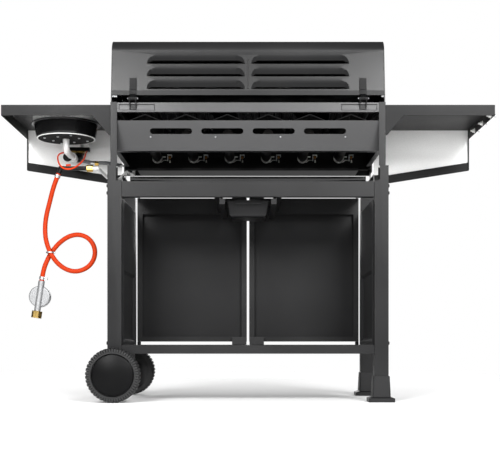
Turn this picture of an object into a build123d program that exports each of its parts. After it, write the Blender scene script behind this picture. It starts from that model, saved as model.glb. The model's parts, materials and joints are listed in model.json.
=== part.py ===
from build123d import *
from math import hypot, pi, radians, tan
import os

# A six-burner gas barbecue on a wheeled cabinet with a side burner, in millimetres.
# +Z is up and z = 0 is the ground. The doors and knobs face -Y, and the lid hinges and
# the grease cup face +Y. +X is the right-hand side for the cook, with the side burner
# and the wheels, and -X carries the tool hooks and the feet.

os.makedirs("parts", exist_ok=True)

# Sheet metal and fits
sheet = 1.5  # every folded panel
seat = 0.3  # between pieces that move on one another
running = 0.05  # radial, shaft in hole
fastener_radius = 3.0

# Cart: four legs, a floor shelf, two upper beams
rear = 225.0  # y of the legs' rear faces
cart_width = 816.0
cart_depth = 390.0
leg_width = 41.0
leg_depth = 40.0
leg_top = 687.0
notch_width = 15.6
notch_height = 44.0
notch_radius = 8.0
wheel_leg_end = 52.0
beam_setback = 2.0
beam_flange = 25.0
rear_beam_bottom = 596.0
rear_beam_height = 45.0
header_bottom = 654.0
header_height = 57.0
header_depth = 43.0
header_lip = 10.0
floor_top = 165.0
floor_lip = 25.0

# Feet
foot_height = 75.0
foot_socket = 30.0
foot_wall = 3.0
foot_flare = 3.0
foot_base_width = 76.0
foot_base_depth = 70.0
foot_base_height = 15.0

# Side panels of the cabinet
side_top = 594.0
side_lap = 12.0
pocket_top = 388.0
pocket_depth = 8.0
pocket_margin = 8.0

# Wheels
wheel_diameter = 157.0
wheel_width = 40.0
wheel_gap = 8.0
axle_overhang = 22.0
axle_diameter = 10.0
rim_diameter = 122.0
lug_count = 42
lug_gap = 4.0
lug_depth = 3.0
hub_boss_diameter = 28.0
hub_cap_diameter = 118.0
hub_cap_rise = 9.0
plastic_wall = 2.0

# Doors
door_height = 468.0
door_thickness = 20.0
door_floor_gap = 10.0
door_centre_gap = 7.6
door_side_gap = 5.5
door_front_setback = 3.0
door_lip_top = 52.0
door_lip_side = 17.0
door_lip_bottom = 16.0
pin_inset = 4.5
pin_setback = 7.0
pin_reach = 8.0
handle_length = 260.0
handle_inset = 36.0
handle_standoff = 30.0
handle_rod = 10.0
catch_width = 47.0
catch_depth = 18.0
catch_height = 25.0

# Firebox
firebox_width = 798.8
firebox_depth = 430.0
firebox_top = 871.0
firebox_bottom = 745.0
end_flange = 19.4
grate_level = 843.5
tamer_level = 818.0
ledge = 14.5
rear_rail_bottom = 842.0
rear_rail_setback = 2.5
rail_recess = 3.0
panel_top_setback = 6.0
panel_bottom_setback = 50.0
panel_bottom = 738.0
panel_slot_length = 123.0
panel_slot_width = 17.5
panel_slot_pitch = 150.0
panel_slot_drop = 32.0
burner_count = 6
burner_pitch = 120.0
burner_level = 788.0
burner_radius = 16.0
burner_mouth_radius = 15.0
tamer_width = 90.0
tamer_rise = 18.0
grate_count = 3
grate_width = 250.0
grate_thickness = 12.0
grate_bar = 6.0
grate_slots = 11
rack_level = 950.0
rack_wire = 6.0

# Control panel and gas train
panel_front = 470.0  # distance of the knob face in front of the legs' rear faces
control_bottom = 733.0
control_top = 865.0
control_bevel = 15.0
control_flange = 108.0
control_flange_width = 720.0
manifold_radius = 10.0
manifold_setback = 15.0
manifold_drop = 26.0
stem_radius = 4.0
stem_reach = 15.0
knob_radius = 23.0
knob_length = 27.0

# Lid
lid_width = 797.0
lid_end_wall = 3.0
lid_rear_bottom = 891.0
lid_rear_top = 1060.0
lid_crown_top = 1073.0
lid_front_top = 1000.0
lid_front_bottom = 873.0
lid_rear_foot = 4.0  # setbacks of the lid's corners, from its rear edge to its front edge
lid_rear_bend = 28.0
lid_crown = 230.0
lid_front_bend = 420.0
lid_front_foot = 438.0
lid_rear_round = 42.0  # radii of the three bends between them
lid_crown_round = 420.0
lid_front_round = 70.0
lid_hem = 14.0
lid_rib_width = 5.0
lid_rib_height = 2.0
strap_width = 21.0
strap_thickness = 2.5
strap_top = 942.0
knuckle_width = 15.0
hinge_spread = 668.0  # between the two hinges
hinge_standoff = 8.0  # pin axis behind the legs' rear faces
hinge_level = 878.5
hinge_pin_radius = 2.5
hinge_eye_radius = 5.5
louvre_width = 286.0
louvre_height = 28.0
louvre_depth = 10.0
louvre_pitch = 38.4
louvre_column = 304.0
louvre_first = 19.0  # lowest louvre's mouth above the lid's rear edge
lid_handle_length = 560.0
lid_handle_radius = 11.0
lid_handle_level = 890.0
lid_handle_reach = 42.0
lid_post_inset = 24.0
lid_post_radius = 7.0
thermometer_level = 932.0
thermometer_radius = 26.0
thermometer_depth = 12.0

# Side shelves
overall_width = 1433.0
shelf_top = 862.0
shelf_depth = 350.0
shelf_lip = 31.0
shelf_front_lip = 37.0
gusset_width = 52.0
gusset_height = 57.0
fascia_outer_drop = 131.0
fascia_inner_drop = 172.0
fascia_knee = 455.0
fascia_hem = 26.0
hem_depth = 8.0
hook_radius = 3.0
hook_length = 14.5
hook_knob_radius = 5.0
hook_knob_length = 4.0
hook_pitch = 105.0

# Side burner
bowl_x = 558.0
bowl_setback = 169.0
bowl_radius = 99.0
bowl_floor_radius = 88.0
bowl_floor = 798.0
bowl_rim = 9.0
neck_radius = 8.8
venturi_radius = 10.0
venturi_level = 761.0
side_knob_x = 545.0

# Grease tray and cup
tray_rail_width = 15.0
tray_rail_height = 19.0
tray_rim = 656.0
tray_from = 50.0
tray_to = 340.0
drain_setback = 120.0
drain_radius = 20.0
cup_rail_inner = 67.0
cup_rail_size = 16.0
cup_rail_top = 590.0
cup_hanger = 25.0
cup_width = 122.0
cup_length = 120.0
cup_depth = 46.0
cup_rim = 14.0

# Gas hose
hose_diameter = 14.0
hose_bore = 4.0  # radius
hose_setback = 100.0
regulator_radius = 32.0
regulator_depth = 24.0
regulator_body = 91.0
spigot_radius = 7.0
bottle_nut_flats = 27.0
bottle_nut_length = 21.0
bottle_thread_radius = 10.5
bottle_thread_length = 11.0
collar_radius = 9.5
collar_length = 3.0
supply_pipe_radius = 5.0
branch_pipe_radius = 3.0

# Derived places
leg_outer = cart_width / 2
leg_inner = leg_outer - leg_width
leg_mid = leg_outer - leg_width / 2
front = rear - cart_depth
rear_beam_top = rear_beam_bottom + rear_beam_height
header_top = header_bottom + header_height
wheel_radius = wheel_diameter / 2
axle_radius = axle_diameter / 2
end_outer = firebox_width / 2
end_inner = end_outer - sheet
burner_span = burner_pitch * (burner_count - 1)
burner_places = [burner_pitch * (i - (burner_count - 1) / 2) for i in range(burner_count)]
shelf_end = overall_width / 2
shelf_underside = shelf_top - sheet
door_bottom = floor_top + door_floor_gap
door_top = door_bottom + door_height
door_outer = leg_inner - door_side_gap
door_inner = door_centre_gap / 2
door_face = cart_depth - door_front_setback
door_back = door_face - door_thickness
pin_x = door_outer - pin_inset
pin_setback_y = door_face - pin_setback


def at(distance):
    """The y of a point at a distance in front of the legs' rear faces."""
    return rear - distance


def block(x, y, z, mode=Mode.ADD):
    """A box between pairs of coordinates, in the part being built."""
    centre = ((x[0] + x[1]) / 2, (y[0] + y[1]) / 2, (z[0] + z[1]) / 2)
    with Locations(centre):
        Box(abs(x[1] - x[0]), abs(y[1] - y[0]), abs(z[1] - z[0]), mode=mode)


def folded(plane, points, thickness=sheet):
    """The cross-section of a folded sheet whose outer face follows the points."""
    with BuildSketch(plane) as section:
        with BuildLine():
            Polyline(*points)
            offset(amount=thickness, kind=Kind.INTERSECTION, side=Side.LEFT)
        make_face()
    return section.sketch


def outline(plane, points):
    """A flat shape with straight edges."""
    with BuildSketch(plane) as shape:
        with BuildLine():
            Polyline(*points, close=True)
        make_face()
    return shape.sketch


def reflected(part):
    """The same pressing for the other side of the barbecue."""
    with BuildPart() as other:
        mirror(part, about=Plane.YZ)
    return other.part


def cylinder_along_y(x, z, start, end, radius, mode=Mode.ADD):
    """A round bar along Y, between two distances from the legs' rear faces."""
    centre = Plane(origin=(x, at((start + end) / 2), z), z_dir=(0, 1, 0))
    with Locations(centre):
        Cylinder(radius, abs(end - start), mode=mode)


def keep(part, name):
    """Label a finished piece and write its file."""
    part.label = name
    export_step(part, "parts/" + name + ".step")


# ---------------------------------------------------------------- cart

def pair_of_legs(bottom):
    """Front and rear leg of one side: square tubes, notched at the inner top corner."""
    with BuildPart() as legs:
        with BuildSketch(Plane.XY.offset(bottom)):
            with Locations((leg_mid, at(leg_depth / 2)), (leg_mid, at(cart_depth - leg_depth / 2))):
                Rectangle(leg_width, leg_depth)
                Rectangle(leg_width - 2 * sheet, leg_depth - 2 * sheet, mode=Mode.SUBTRACT)
        extrude(amount=leg_top - bottom)
        with BuildSketch(Plane.XZ):
            with Locations((leg_inner + notch_width / 2, leg_top)):
                Rectangle(notch_width, 2 * notch_height)
            corner = vertices().group_by(Axis.Z)[0].sort_by(Axis.X)[-1]
            fillet(corner, radius=notch_radius)
        extrude(amount=cart_depth, both=True, mode=Mode.SUBTRACT)
    return legs.part


with BuildPart() as wheel_legs:
    add(pair_of_legs(wheel_leg_end))
    cylinder_along_y(leg_mid, wheel_radius, 0, cart_depth, axle_radius + running, Mode.SUBTRACT)
keep(wheel_legs.part, "wheel_legs")

foot_legs = reflected(pair_of_legs(foot_socket))
keep(foot_legs, "foot_legs")

# Moulded feet: a flared boot over the leg's end on a broad base
with BuildPart() as feet:
    for foot_y in (at(leg_depth / 2), at(cart_depth - leg_depth / 2)):
        foot_centre = (-leg_mid, foot_y, 0)
        with BuildSketch(Plane(origin=foot_centre)):
            RectangleRounded(foot_base_width, foot_base_depth, 6)
        extrude(amount=foot_base_height - 4)
        boot_width = leg_width + 2 * foot_wall
        boot_depth = leg_depth + 2 * foot_wall
        with BuildSketch(Plane(origin=foot_centre).offset(foot_base_height - 4)):
            RectangleRounded(foot_base_width, foot_base_depth, 6)
        with BuildSketch(Plane(origin=foot_centre).offset(foot_base_height)):
            RectangleRounded(boot_width + 2 * foot_flare, boot_depth + 2 * foot_flare, 5)
        loft()
        with BuildSketch(Plane(origin=foot_centre).offset(foot_base_height)):
            RectangleRounded(boot_width + 2 * foot_flare, boot_depth + 2 * foot_flare, 5)
        with BuildSketch(Plane(origin=foot_centre).offset(foot_height)):
            RectangleRounded(boot_width, boot_depth, 3)
        loft()
        with BuildSketch(Plane(origin=foot_centre).offset(foot_socket)):
            Rectangle(leg_width, leg_depth)
        extrude(amount=foot_height - foot_socket, mode=Mode.SUBTRACT)
keep(feet.part, "feet")

# Side panel: a flat pressing lapped on the legs' inner faces, with a pocket pressed
# outward between the legs below its step
with BuildPart() as side_panel_right:
    panel_rear = at(leg_depth - side_lap)
    panel_front_edge = at(cart_depth - leg_depth + side_lap)
    panel_foot = floor_top + 2
    block((leg_inner - sheet, leg_inner), (panel_front_edge, panel_rear), (panel_foot, side_top))
    pocket_length = cart_depth - 2 * leg_depth - 2 * pocket_margin
    pocket_bottom = panel_foot + pocket_margin
    pocket_y = at(cart_depth / 2)
    pocket_z = (pocket_top + pocket_bottom) / 2
    pocket_height = pocket_top - pocket_bottom
    with BuildSketch(Plane.YZ.offset(leg_inner)):
        with Locations((pocket_y, pocket_z)):
            Rectangle(pocket_length, pocket_height)
    extrude(amount=pocket_depth, taper=45)
    with BuildSketch(Plane.YZ.offset(leg_inner - sheet)):
        with Locations((pocket_y, pocket_z)):
            Rectangle(pocket_length - sheet, pocket_height - sheet)
    extrude(amount=pocket_depth, taper=45, mode=Mode.SUBTRACT)
keep(side_panel_right.part, "side_panel_right")
side_panel_left = reflected(side_panel_right.part)
keep(side_panel_left, "side_panel_left")

# Upper rear beam: a channel with its flanges turned to the front
beam_front = beam_setback + beam_flange
rear_beam_path = [
    (at(beam_front), rear_beam_bottom),
    (at(beam_setback), rear_beam_bottom),
    (at(beam_setback), rear_beam_top),
    (at(beam_front), rear_beam_top),
]
with BuildPart() as upper_rear_beam:
    extrude(folded(Plane.YZ, rear_beam_path), amount=leg_inner, both=True)
keep(upper_rear_beam.part, "upper_rear_beam")

# Door header: a deep channel between the front legs, with the doors' upper pins
header_face = cart_depth - beam_setback
header_back = header_face - header_depth
header_path = [
    (at(header_back), header_top),
    (at(header_back), header_bottom),
    (at(header_face), header_bottom),
    (at(header_face), header_top),
    (at(header_face - header_lip), header_top),
]
header_path.reverse()
with BuildPart() as door_header:
    header_half = leg_inner + notch_width
    header_section = folded(Plane.YZ, header_path)
    extrude(header_section, amount=header_half, both=True)
    with BuildSketch(Plane.XY.offset(header_bottom)):
        with Locations((pin_x, at(pin_setback_y)), (-pin_x, at(pin_setback_y))):
            Circle(fastener_radius)
    extrude(amount=-(header_bottom - door_top + pin_reach))
keep(door_header.part, "door_header")

# Floor shelf: a pan turned down on four sides, with the doors' lower pins and collars
with BuildPart() as floor_shelf:
    block((-leg_inner, leg_inner), (at(header_face), at(beam_setback)), (floor_top - floor_lip, floor_top))
    floor_underside = faces().sort_by(Axis.Z)[0]
    offset(amount=-sheet, openings=floor_underside)
    with BuildSketch(Plane.XY.offset(floor_top)):
        with Locations((pin_x, at(pin_setback_y)), (-pin_x, at(pin_setback_y))):
            Circle(2 * fastener_radius)
    extrude(amount=door_floor_gap - seat)
    with BuildSketch(Plane.XY.offset(floor_top)):
        with Locations((pin_x, at(pin_setback_y)), (-pin_x, at(pin_setback_y))):
            Circle(fastener_radius)
    extrude(amount=door_floor_gap + pin_reach)
keep(floor_shelf.part, "floor_shelf")

# Magnetic catches: a pair behind the doors' top lips and a pair behind the bottom ones
catch_back = door_back - seat - catch_depth
with BuildPart() as door_catches:
    for catch_base in (floor_top, header_bottom - catch_height):
        for side in (-1, 1):
            catch_x = side * (door_inner + 1 + catch_width / 2)
            left_x = catch_x - catch_width / 2
            right_x = catch_x + catch_width / 2
            span_y = (at(catch_back + catch_depth), at(catch_back))
            block((left_x, right_x), span_y, (catch_base, catch_base + catch_height))
            groove_y = (at(catch_back + catch_depth), at(catch_back + catch_depth - 2))
            for groove_x in (catch_x - catch_width / 4, catch_x + catch_width / 4):
                groove_z = (catch_base + 4, catch_base + catch_height - 4)
                block((groove_x - 3, groove_x + 3), groove_y, groove_z, Mode.SUBTRACT)
keep(door_catches.part, "door_catches")


# ---------------------------------------------------------------- doors

with BuildPart() as door_right:
    door_y = (at(door_face), at(door_back))
    block((door_inner, door_outer), door_y, (door_bottom, door_top))
    inside_x = (door_inner + sheet, door_outer - sheet)
    inside_y = (at(door_face - sheet), at(door_back + sheet))
    inside_z = (door_bottom + sheet, door_top - sheet)
    block(inside_x, inside_y, inside_z, Mode.SUBTRACT)
    window_x = (door_inner + door_lip_side, door_outer - door_lip_side)
    window_y = (at(door_back + 2 * sheet), at(door_back))
    window_z = (door_bottom + door_lip_bottom, door_top - door_lip_top)
    block(window_x, window_y, window_z, Mode.SUBTRACT)
    with BuildSketch(Plane.XY.offset(door_bottom)):
        with Locations((pin_x, at(pin_setback_y))):
            Circle(fastener_radius + running)
    extrude(amount=door_height, mode=Mode.SUBTRACT)
keep(door_right.part, "door_right")
door_left = reflected(door_right.part)
keep(door_left, "door_left")

# Door handle: a round bow, bent square to the door at both ends
handle_x = door_inner + handle_inset
handle_base = door_top - 60
with BuildPart() as door_handle_right:
    bow = [
        (at(door_face), handle_base),
        (at(door_face + handle_standoff), handle_base),
        (at(door_face + handle_standoff), handle_base - handle_length),
        (at(door_face), handle_base - handle_length),
    ]
    with BuildLine(Plane.YZ.offset(handle_x)) as bow_path:
        FilletPolyline(*bow, radius=12)
    with BuildSketch(Plane(origin=bow_path.line @ 0, z_dir=bow_path.line % 0)):
        Circle(handle_rod / 2)
    sweep()
keep(door_handle_right.part, "door_handle_right")
door_handle_left = reflected(door_handle_right.part)
keep(door_handle_left, "door_handle_left")


# ---------------------------------------------------------------- wheels

def wheel(centre_y, outward):
    """A moulded wheel with a lugged tread; outward is the side its cap is on."""
    half = wheel_width / 2
    rim = rim_diameter / 2
    boss = hub_boss_diameter / 2
    bore = axle_radius + running
    middle = Plane(origin=(leg_mid, centre_y, wheel_radius), x_dir=(1, 0, 0), z_dir=(0, 0, outward))
    with BuildPart() as moulding:
        with BuildSketch(middle):
            with BuildLine():
                Polyline(
                    (bore, -half + 2),
                    (boss, -half + 2),
                    (boss, 4),
                    (rim, 4),
                    (rim, -half),
                    (wheel_radius - 6, -half),
                    (wheel_radius, -half + 6),
                    (wheel_radius, half - 6),
                    (wheel_radius - 6, half),
                    (rim + 3, half),
                    (rim, half - 4),
                    (rim, 8),
                    (boss, 8),
                    (boss, 14),
                    (bore, 14),
                    close=True,
                )
            make_face()
        revolve(axis=Axis((leg_mid, centre_y, wheel_radius), (0, 1, 0)))
        with Locations(Plane(origin=(leg_mid, centre_y, wheel_radius), z_dir=(0, 1, 0))):
            with PolarLocations(wheel_radius, lug_count, start_angle=180 / lug_count):
                Box(2 * lug_depth, lug_gap, wheel_width + 2, mode=Mode.SUBTRACT)
    return moulding.part


def hub_cap(centre_y, outward):
    """A domed cap on a skirt that stands on the wheel's web, inside the rim."""
    lip = wheel_width / 2 - 4
    crown = lip + hub_cap_rise
    spindle = Axis((leg_mid, centre_y, wheel_radius), (0, 1, 0))
    middle = Plane(origin=(leg_mid, centre_y, wheel_radius), x_dir=(1, 0, 0), z_dir=(0, 0, outward))
    with BuildPart() as cap:
        for wall, mode in ((0, Mode.ADD), (plastic_wall, Mode.SUBTRACT)):
            edge = hub_cap_diameter / 2 - wall
            dome_radius = (edge**2 + hub_cap_rise**2) / (2 * hub_cap_rise)
            with BuildSketch(middle):
                with BuildLine():
                    Polyline((0, crown - wall), (0, 8), (edge, 8), (edge, lip - wall))
                    RadiusArc((edge, lip - wall), (0, crown - wall), -dome_radius)
                make_face()
            revolve(axis=spindle, mode=mode)
    return cap.part


wheel_offset = wheel_gap + wheel_width / 2
rear_wheel_y = rear + wheel_offset
front_wheel_y = front - wheel_offset
keep(wheel(rear_wheel_y, 1), "wheel_rear")
keep(wheel(front_wheel_y, -1), "wheel_front")
keep(hub_cap(rear_wheel_y, 1), "hub_cap_rear")
keep(hub_cap(front_wheel_y, -1), "hub_cap_front")

# Axle through both legs, a spacer beside each leg and a nut outside each hub
with BuildPart() as wheel_axle:
    axle_half = wheel_offset + axle_overhang
    cylinder_along_y(leg_mid, wheel_radius, -axle_half, cart_depth + axle_half, axle_radius)
with BuildPart() as axle_spacer:
    spacer_length = wheel_gap + 2 - seat
    cylinder_along_y(leg_mid, wheel_radius, -spacer_length, 0, 9)
    cylinder_along_y(leg_mid, wheel_radius, -spacer_length, 0, axle_radius + running, Mode.SUBTRACT)
with BuildPart() as axle_nut:
    nut_plane = Plane(origin=(leg_mid, rear_wheel_y + 14 + seat, wheel_radius), z_dir=(0, 1, 0))
    with BuildSketch(nut_plane):
        RegularPolygon(9.8, 6)
        Circle(axle_radius + running, mode=Mode.SUBTRACT)
    extrude(amount=6)
cart_middle = Plane.XZ.offset(-at(cart_depth / 2))
with BuildPart() as axle_set:
    add(wheel_axle.part)
    add(axle_spacer.part)
    add(axle_nut.part)
    mirror(axle_spacer.part, about=cart_middle)
    mirror(axle_nut.part, about=cart_middle)
keep(axle_set.part, "wheel_axle")


# ---------------------------------------------------------------- firebox

# End plate: flanged all round, with tongues that stand inside the two legs
with BuildPart() as firebox_end_right:
    edge_points = [
        (at(1), firebox_top),
        (at(firebox_depth), firebox_top),
        (at(firebox_depth), firebox_bottom),
        (at(cart_depth - 5), firebox_bottom),
        (at(cart_depth - 5), leg_top - 32),
        (at(cart_depth - 35), leg_top - 32),
        (at(cart_depth - 35), firebox_bottom),
        (at(80), firebox_bottom),
        (at(36), leg_top + 14),
        (at(36), leg_top - 32),
        (at(5), leg_top - 32),
        (at(5), leg_top),
        (at(1), leg_top),
    ]
    extrude(outline(Plane.YZ.offset(end_inner), edge_points), amount=sheet)
    flange_x = (end_outer - end_flange, end_outer)
    block(flange_x, (at(1), at(1 + sheet)), (leg_top, firebox_top))
    rim_x = (end_outer - ledge, end_outer)
    block(rim_x, (at(firebox_depth), at(1)), (firebox_top - sheet, firebox_top))
    block(rim_x, (at(cart_depth - 35), at(80)), (firebox_bottom, firebox_bottom + sheet))
    foot_x = (end_inner, leg_outer - sheet)
    for foot_from, foot_to in ((5, 36), (cart_depth - 35, cart_depth - 5)):
        block(foot_x, (at(foot_from), at(foot_to)), (leg_top - 32, leg_top - 2))
keep(firebox_end_right.part, "firebox_end_right")
firebox_end_left = reflected(firebox_end_right.part)
keep(firebox_end_left, "firebox_end_left")

# Rear rail: a channel along the back of the grates, pressed in around each hinge
rail_top = firebox_top - sheet
rail_path = [
    (at(rear_rail_setback + ledge), rear_rail_bottom),
    (at(rear_rail_setback), rear_rail_bottom),
    (at(rear_rail_setback), rail_top),
    (at(rear_rail_setback + ledge), rail_top),
]
recess_centre = hinge_spread / 2 - 11
recess_size = (106.0, rail_top - rear_rail_bottom - 8)
with BuildPart() as firebox_rear_rail:
    extrude(folded(Plane.YZ, rail_path), amount=end_inner, both=True)
    rail_middle = (rail_top + rear_rail_bottom) / 2
    for side in (-1, 1):
        inner_face = Plane.XZ.offset(-at(rear_rail_setback + sheet))
        with BuildSketch(inner_face):
            with Locations((side * recess_centre, rail_middle)):
                Rectangle(*recess_size)
        extrude(amount=rail_recess, taper=30)
        outer_face = Plane.XZ.offset(-at(rear_rail_setback))
        with BuildSketch(outer_face):
            with Locations((side * recess_centre, rail_middle)):
                Rectangle(recess_size[0] - sheet, recess_size[1] - sheet)
        extrude(amount=rail_recess, taper=30, mode=Mode.SUBTRACT)
keep(firebox_rear_rail.part, "firebox_rear_rail")

# Rear panel: slopes in under the grates, with four air slots, a top flange that
# carries the flame tamers and an upstand that carries the burners' tails
upstand_setback = panel_bottom_setback + 25
panel_top = tamer_level
panel_path = [
    (at(upstand_setback), burner_level - burner_radius),
    (at(upstand_setback), panel_bottom),
    (at(panel_bottom_setback), panel_bottom),
    (at(panel_top_setback), panel_top),
    (at(panel_top_setback + 24), panel_top),
]
panel_fall = panel_top - panel_bottom
panel_run = panel_bottom_setback - panel_top_setback
panel_slope = hypot(panel_fall, panel_run)
slot_share = panel_slot_drop / panel_slope
slot_centre = (0, at(panel_top_setback + slot_share * panel_run), panel_top - slot_share * panel_fall)
slot_plane = Plane(origin=slot_centre, x_dir=(1, 0, 0), z_dir=(0, panel_fall, -panel_run))
with BuildPart() as firebox_rear_panel:
    extrude(folded(Plane.YZ, panel_path), amount=end_inner, both=True)
    with BuildSketch(slot_plane):
        with GridLocations(panel_slot_pitch, 0, 4, 1):
            SlotOverall(panel_slot_length, panel_slot_width)
    extrude(amount=3 * sheet, both=True, mode=Mode.SUBTRACT)
keep(firebox_rear_panel.part, "firebox_rear_panel")

# Front wall: pierced for the burners, with a ledge for the grates and one for the tamers
wall_path = [
    (at(firebox_depth - ledge), rail_top),
    (at(firebox_depth), rail_top),
    (at(firebox_depth), firebox_bottom),
    (at(firebox_depth - ledge), firebox_bottom),
]
ledge_y = (at(firebox_depth - sheet), at(firebox_depth - sheet - ledge))
with BuildPart() as firebox_front_wall:
    extrude(folded(Plane.YZ, wall_path), amount=end_inner, both=True)
    for level in (grate_level, tamer_level):
        block((-end_inner, end_inner), ledge_y, (level - sheet, level))
    for burner_x in burner_places:
        cylinder_along_y(
            burner_x,
            burner_level,
            firebox_depth - 5,
            firebox_depth + 5,
            burner_mouth_radius + seat,
            Mode.SUBTRACT,
        )
keep(firebox_front_wall.part, "firebox_front_wall")

# Burners: closed tubes, wider and open at the mouth, with a slot there for the air
burner_tail = upstand_setback - 13
mouth_end = firebox_depth + 14
with BuildPart() as burners:
    for burner_x in burner_places:
        cylinder_along_y(burner_x, burner_level, burner_tail, firebox_depth - 18, burner_radius)
        cylinder_along_y(burner_x, burner_level, firebox_depth - 18, mouth_end, burner_mouth_radius)
        bore_from = firebox_depth - 30
        cylinder_along_y(burner_x, burner_level, bore_from, mouth_end, burner_mouth_radius - 2, Mode.SUBTRACT)
        with Locations((burner_x, at(mouth_end - 7), burner_level)):
            Box(2 * burner_mouth_radius + 2, 6, 8, mode=Mode.SUBTRACT)
keep(burners.part, "burners")

# Flame tamers: bent plates over the burners
with BuildPart() as flame_tamers:
    for burner_x in burner_places:
        roof = [
            (burner_x + tamer_width / 2, tamer_level + sheet),
            (burner_x, tamer_level + sheet + tamer_rise),
            (burner_x - tamer_width / 2, tamer_level + sheet),
        ]
        tamer_plane = Plane.XZ.offset(-at(panel_top_setback + 4))
        extrude(folded(tamer_plane, roof), amount=firebox_depth - ledge - panel_top_setback)
keep(flame_tamers.part, "flame_tamers")

# Cooking grates: flat castings with long slots
grate_length = firebox_depth - 2 * rear_rail_setback - 2 * sheet - 4
grate_y = at(firebox_depth / 2 + 1)
slot_length = (grate_length - 3 * 2 * grate_bar) / 2
slot_spacing = (grate_width - grate_bar) / grate_slots
with BuildPart() as cooking_grates:
    with BuildSketch(Plane.XY.offset(grate_level)):
        for i in range(grate_count):
            grate_x = (i - (grate_count - 1) / 2) * (grate_width + 2)
            with Locations((grate_x, grate_y)):
                Rectangle(grate_width, grate_length)
                with GridLocations(slot_spacing, slot_length + 2 * grate_bar, grate_slots, 2):
                    Rectangle(slot_spacing - grate_bar, slot_length, mode=Mode.SUBTRACT)
    extrude(amount=grate_thickness)
keep(cooking_grates.part, "cooking_grates")

# Warming rack: two bent end wires stand on the firebox and carry a deck of long wires
rack_half = end_outer - ledge / 2 - 2
rack_setbacks = (60, 88, 116, 144, 172, 200)
with BuildPart() as warming_rack:
    for setback in (rack_setbacks[0], rack_setbacks[-1]):
        hoop = [
            (-rack_half, firebox_top),
            (-rack_half, rack_level),
            (rack_half, rack_level),
            (rack_half, firebox_top),
        ]
        with BuildLine(Plane.XZ.offset(-at(setback))) as hoop_path:
            FilletPolyline(*hoop, radius=16)
        with BuildSketch(Plane(origin=hoop_path.line @ 0, z_dir=hoop_path.line % 0)):
            Circle(rack_wire / 2)
        sweep()
    deck_length = 2 * rack_half - 40
    for setback in rack_setbacks[1:-1]:
        with Locations(Plane(origin=(0, at(setback), rack_level), z_dir=(1, 0, 0))):
            Cylinder(rack_wire / 3, deck_length)
    tie_y = (at(rack_setbacks[-1]), at(rack_setbacks[0]))
    for tie_x in (-deck_length / 2 + 4, 0, deck_length / 2 - 4):
        block((tie_x - 2, tie_x + 2), tie_y, (rack_level - 3, rack_level + 1))
keep(warming_rack.part, "warming_rack")


# ---------------------------------------------------------------- control panel and gas

panel_outer_path = [
    (at(firebox_depth), control_top),
    (at(panel_front - control_bevel), control_top),
    (at(panel_front), control_top - control_bevel),
    (at(panel_front), control_bottom),
    (at(panel_front - control_flange), control_bottom),
    (at(panel_front - control_flange), control_bottom + 8),
]
cheek_points = [
    (at(firebox_depth), control_top),
    (at(panel_front - control_bevel), control_top),
    (at(panel_front), control_top - control_bevel),
    (at(panel_front), control_bottom),
    (at(cart_depth), control_bottom),
    (at(cart_depth), firebox_bottom + 20),
]
with BuildPart() as control_panel:
    extrude(folded(Plane.YZ, panel_outer_path), amount=leg_outer, both=True)
    for side in (-1, 1):
        cut_x = (side * control_flange_width / 2, side * leg_outer)
        flange_z = (control_bottom, control_bottom + 10)
        block(cut_x, (at(panel_front - sheet), at(panel_front - control_flange)), flange_z, Mode.SUBTRACT)
        cheek_plane = Plane.YZ.offset(leg_outer - sheet if side > 0 else -leg_outer)
        extrude(outline(cheek_plane, cheek_points), amount=sheet)
    for burner_x in burner_places:
        cylinder_along_y(burner_x, burner_level, panel_front - 5, panel_front + 5, stem_radius + 1, Mode.SUBTRACT)
keep(control_panel.part, "control_panel")

# Gas manifold along the back of the control panel, with a tap below each knob's stem
manifold_from_rear = panel_front - manifold_setback
manifold_z = burner_level - manifold_drop
manifold_end = end_outer - 8
supply_x = manifold_end - 8
supply_top = manifold_z - manifold_radius - 4
with BuildPart() as gas_manifold:
    tube_start = -burner_span / 2 - 24
    with BuildSketch(Plane.YZ.offset(tube_start)):
        with Locations((at(manifold_from_rear), manifold_z)):
            Circle(manifold_radius)
    extrude(amount=manifold_end - tube_start)
    with BuildSketch(Plane(origin=(supply_x, at(manifold_from_rear), supply_top))):
        Circle(manifold_radius - 2)
    extrude(amount=manifold_radius)
    for burner_x in burner_places:
        tap_place = (burner_x, at(manifold_from_rear), 0)
        with BuildSketch(Plane(origin=tap_place).offset(manifold_z)):
            Circle(9)
        extrude(amount=manifold_drop + 9)
        orifice_start = mouth_end - 4
        cylinder_along_y(burner_x, burner_level, orifice_start, manifold_from_rear, 3)
        cylinder_along_y(burner_x, burner_level, mouth_end + 1, manifold_from_rear, 6)
        cylinder_along_y(burner_x, burner_level, manifold_from_rear, panel_front - sheet, 8)
        cylinder_along_y(burner_x, burner_level, panel_front - 4, panel_front - sheet, 14)
        cylinder_along_y(burner_x, burner_level, manifold_from_rear, panel_front + stem_reach, stem_radius)
keep(gas_manifold.part, "gas_manifold")


def knob(x, face):
    """A control knob with a raised grip, turning on a tap's stem."""
    with BuildPart() as moulding:
        base = Plane(origin=(x, at(face + seat), burner_level), z_dir=(0, -1, 0), x_dir=(1, 0, 0))
        with BuildSketch(base):
            Circle(knob_radius)
        extrude(amount=6, taper=8)
        with BuildSketch(base.offset(6)):
            Circle(knob_radius - 4)
        extrude(amount=knob_length - 12, taper=6)
        with BuildSketch(base.offset(5)):
            SlotOverall(2 * knob_radius - 2, 11, rotation=90)
        extrude(amount=knob_length - 5, taper=3)
        with BuildSketch(base):
            Circle(stem_radius + running)
        extrude(amount=stem_reach + 1, mode=Mode.SUBTRACT)
    return moulding.part


for number, burner_x in enumerate(burner_places, 1):
    keep(knob(burner_x, panel_front), "burner_knob_" + str(number))


# ---------------------------------------------------------------- lid

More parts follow.
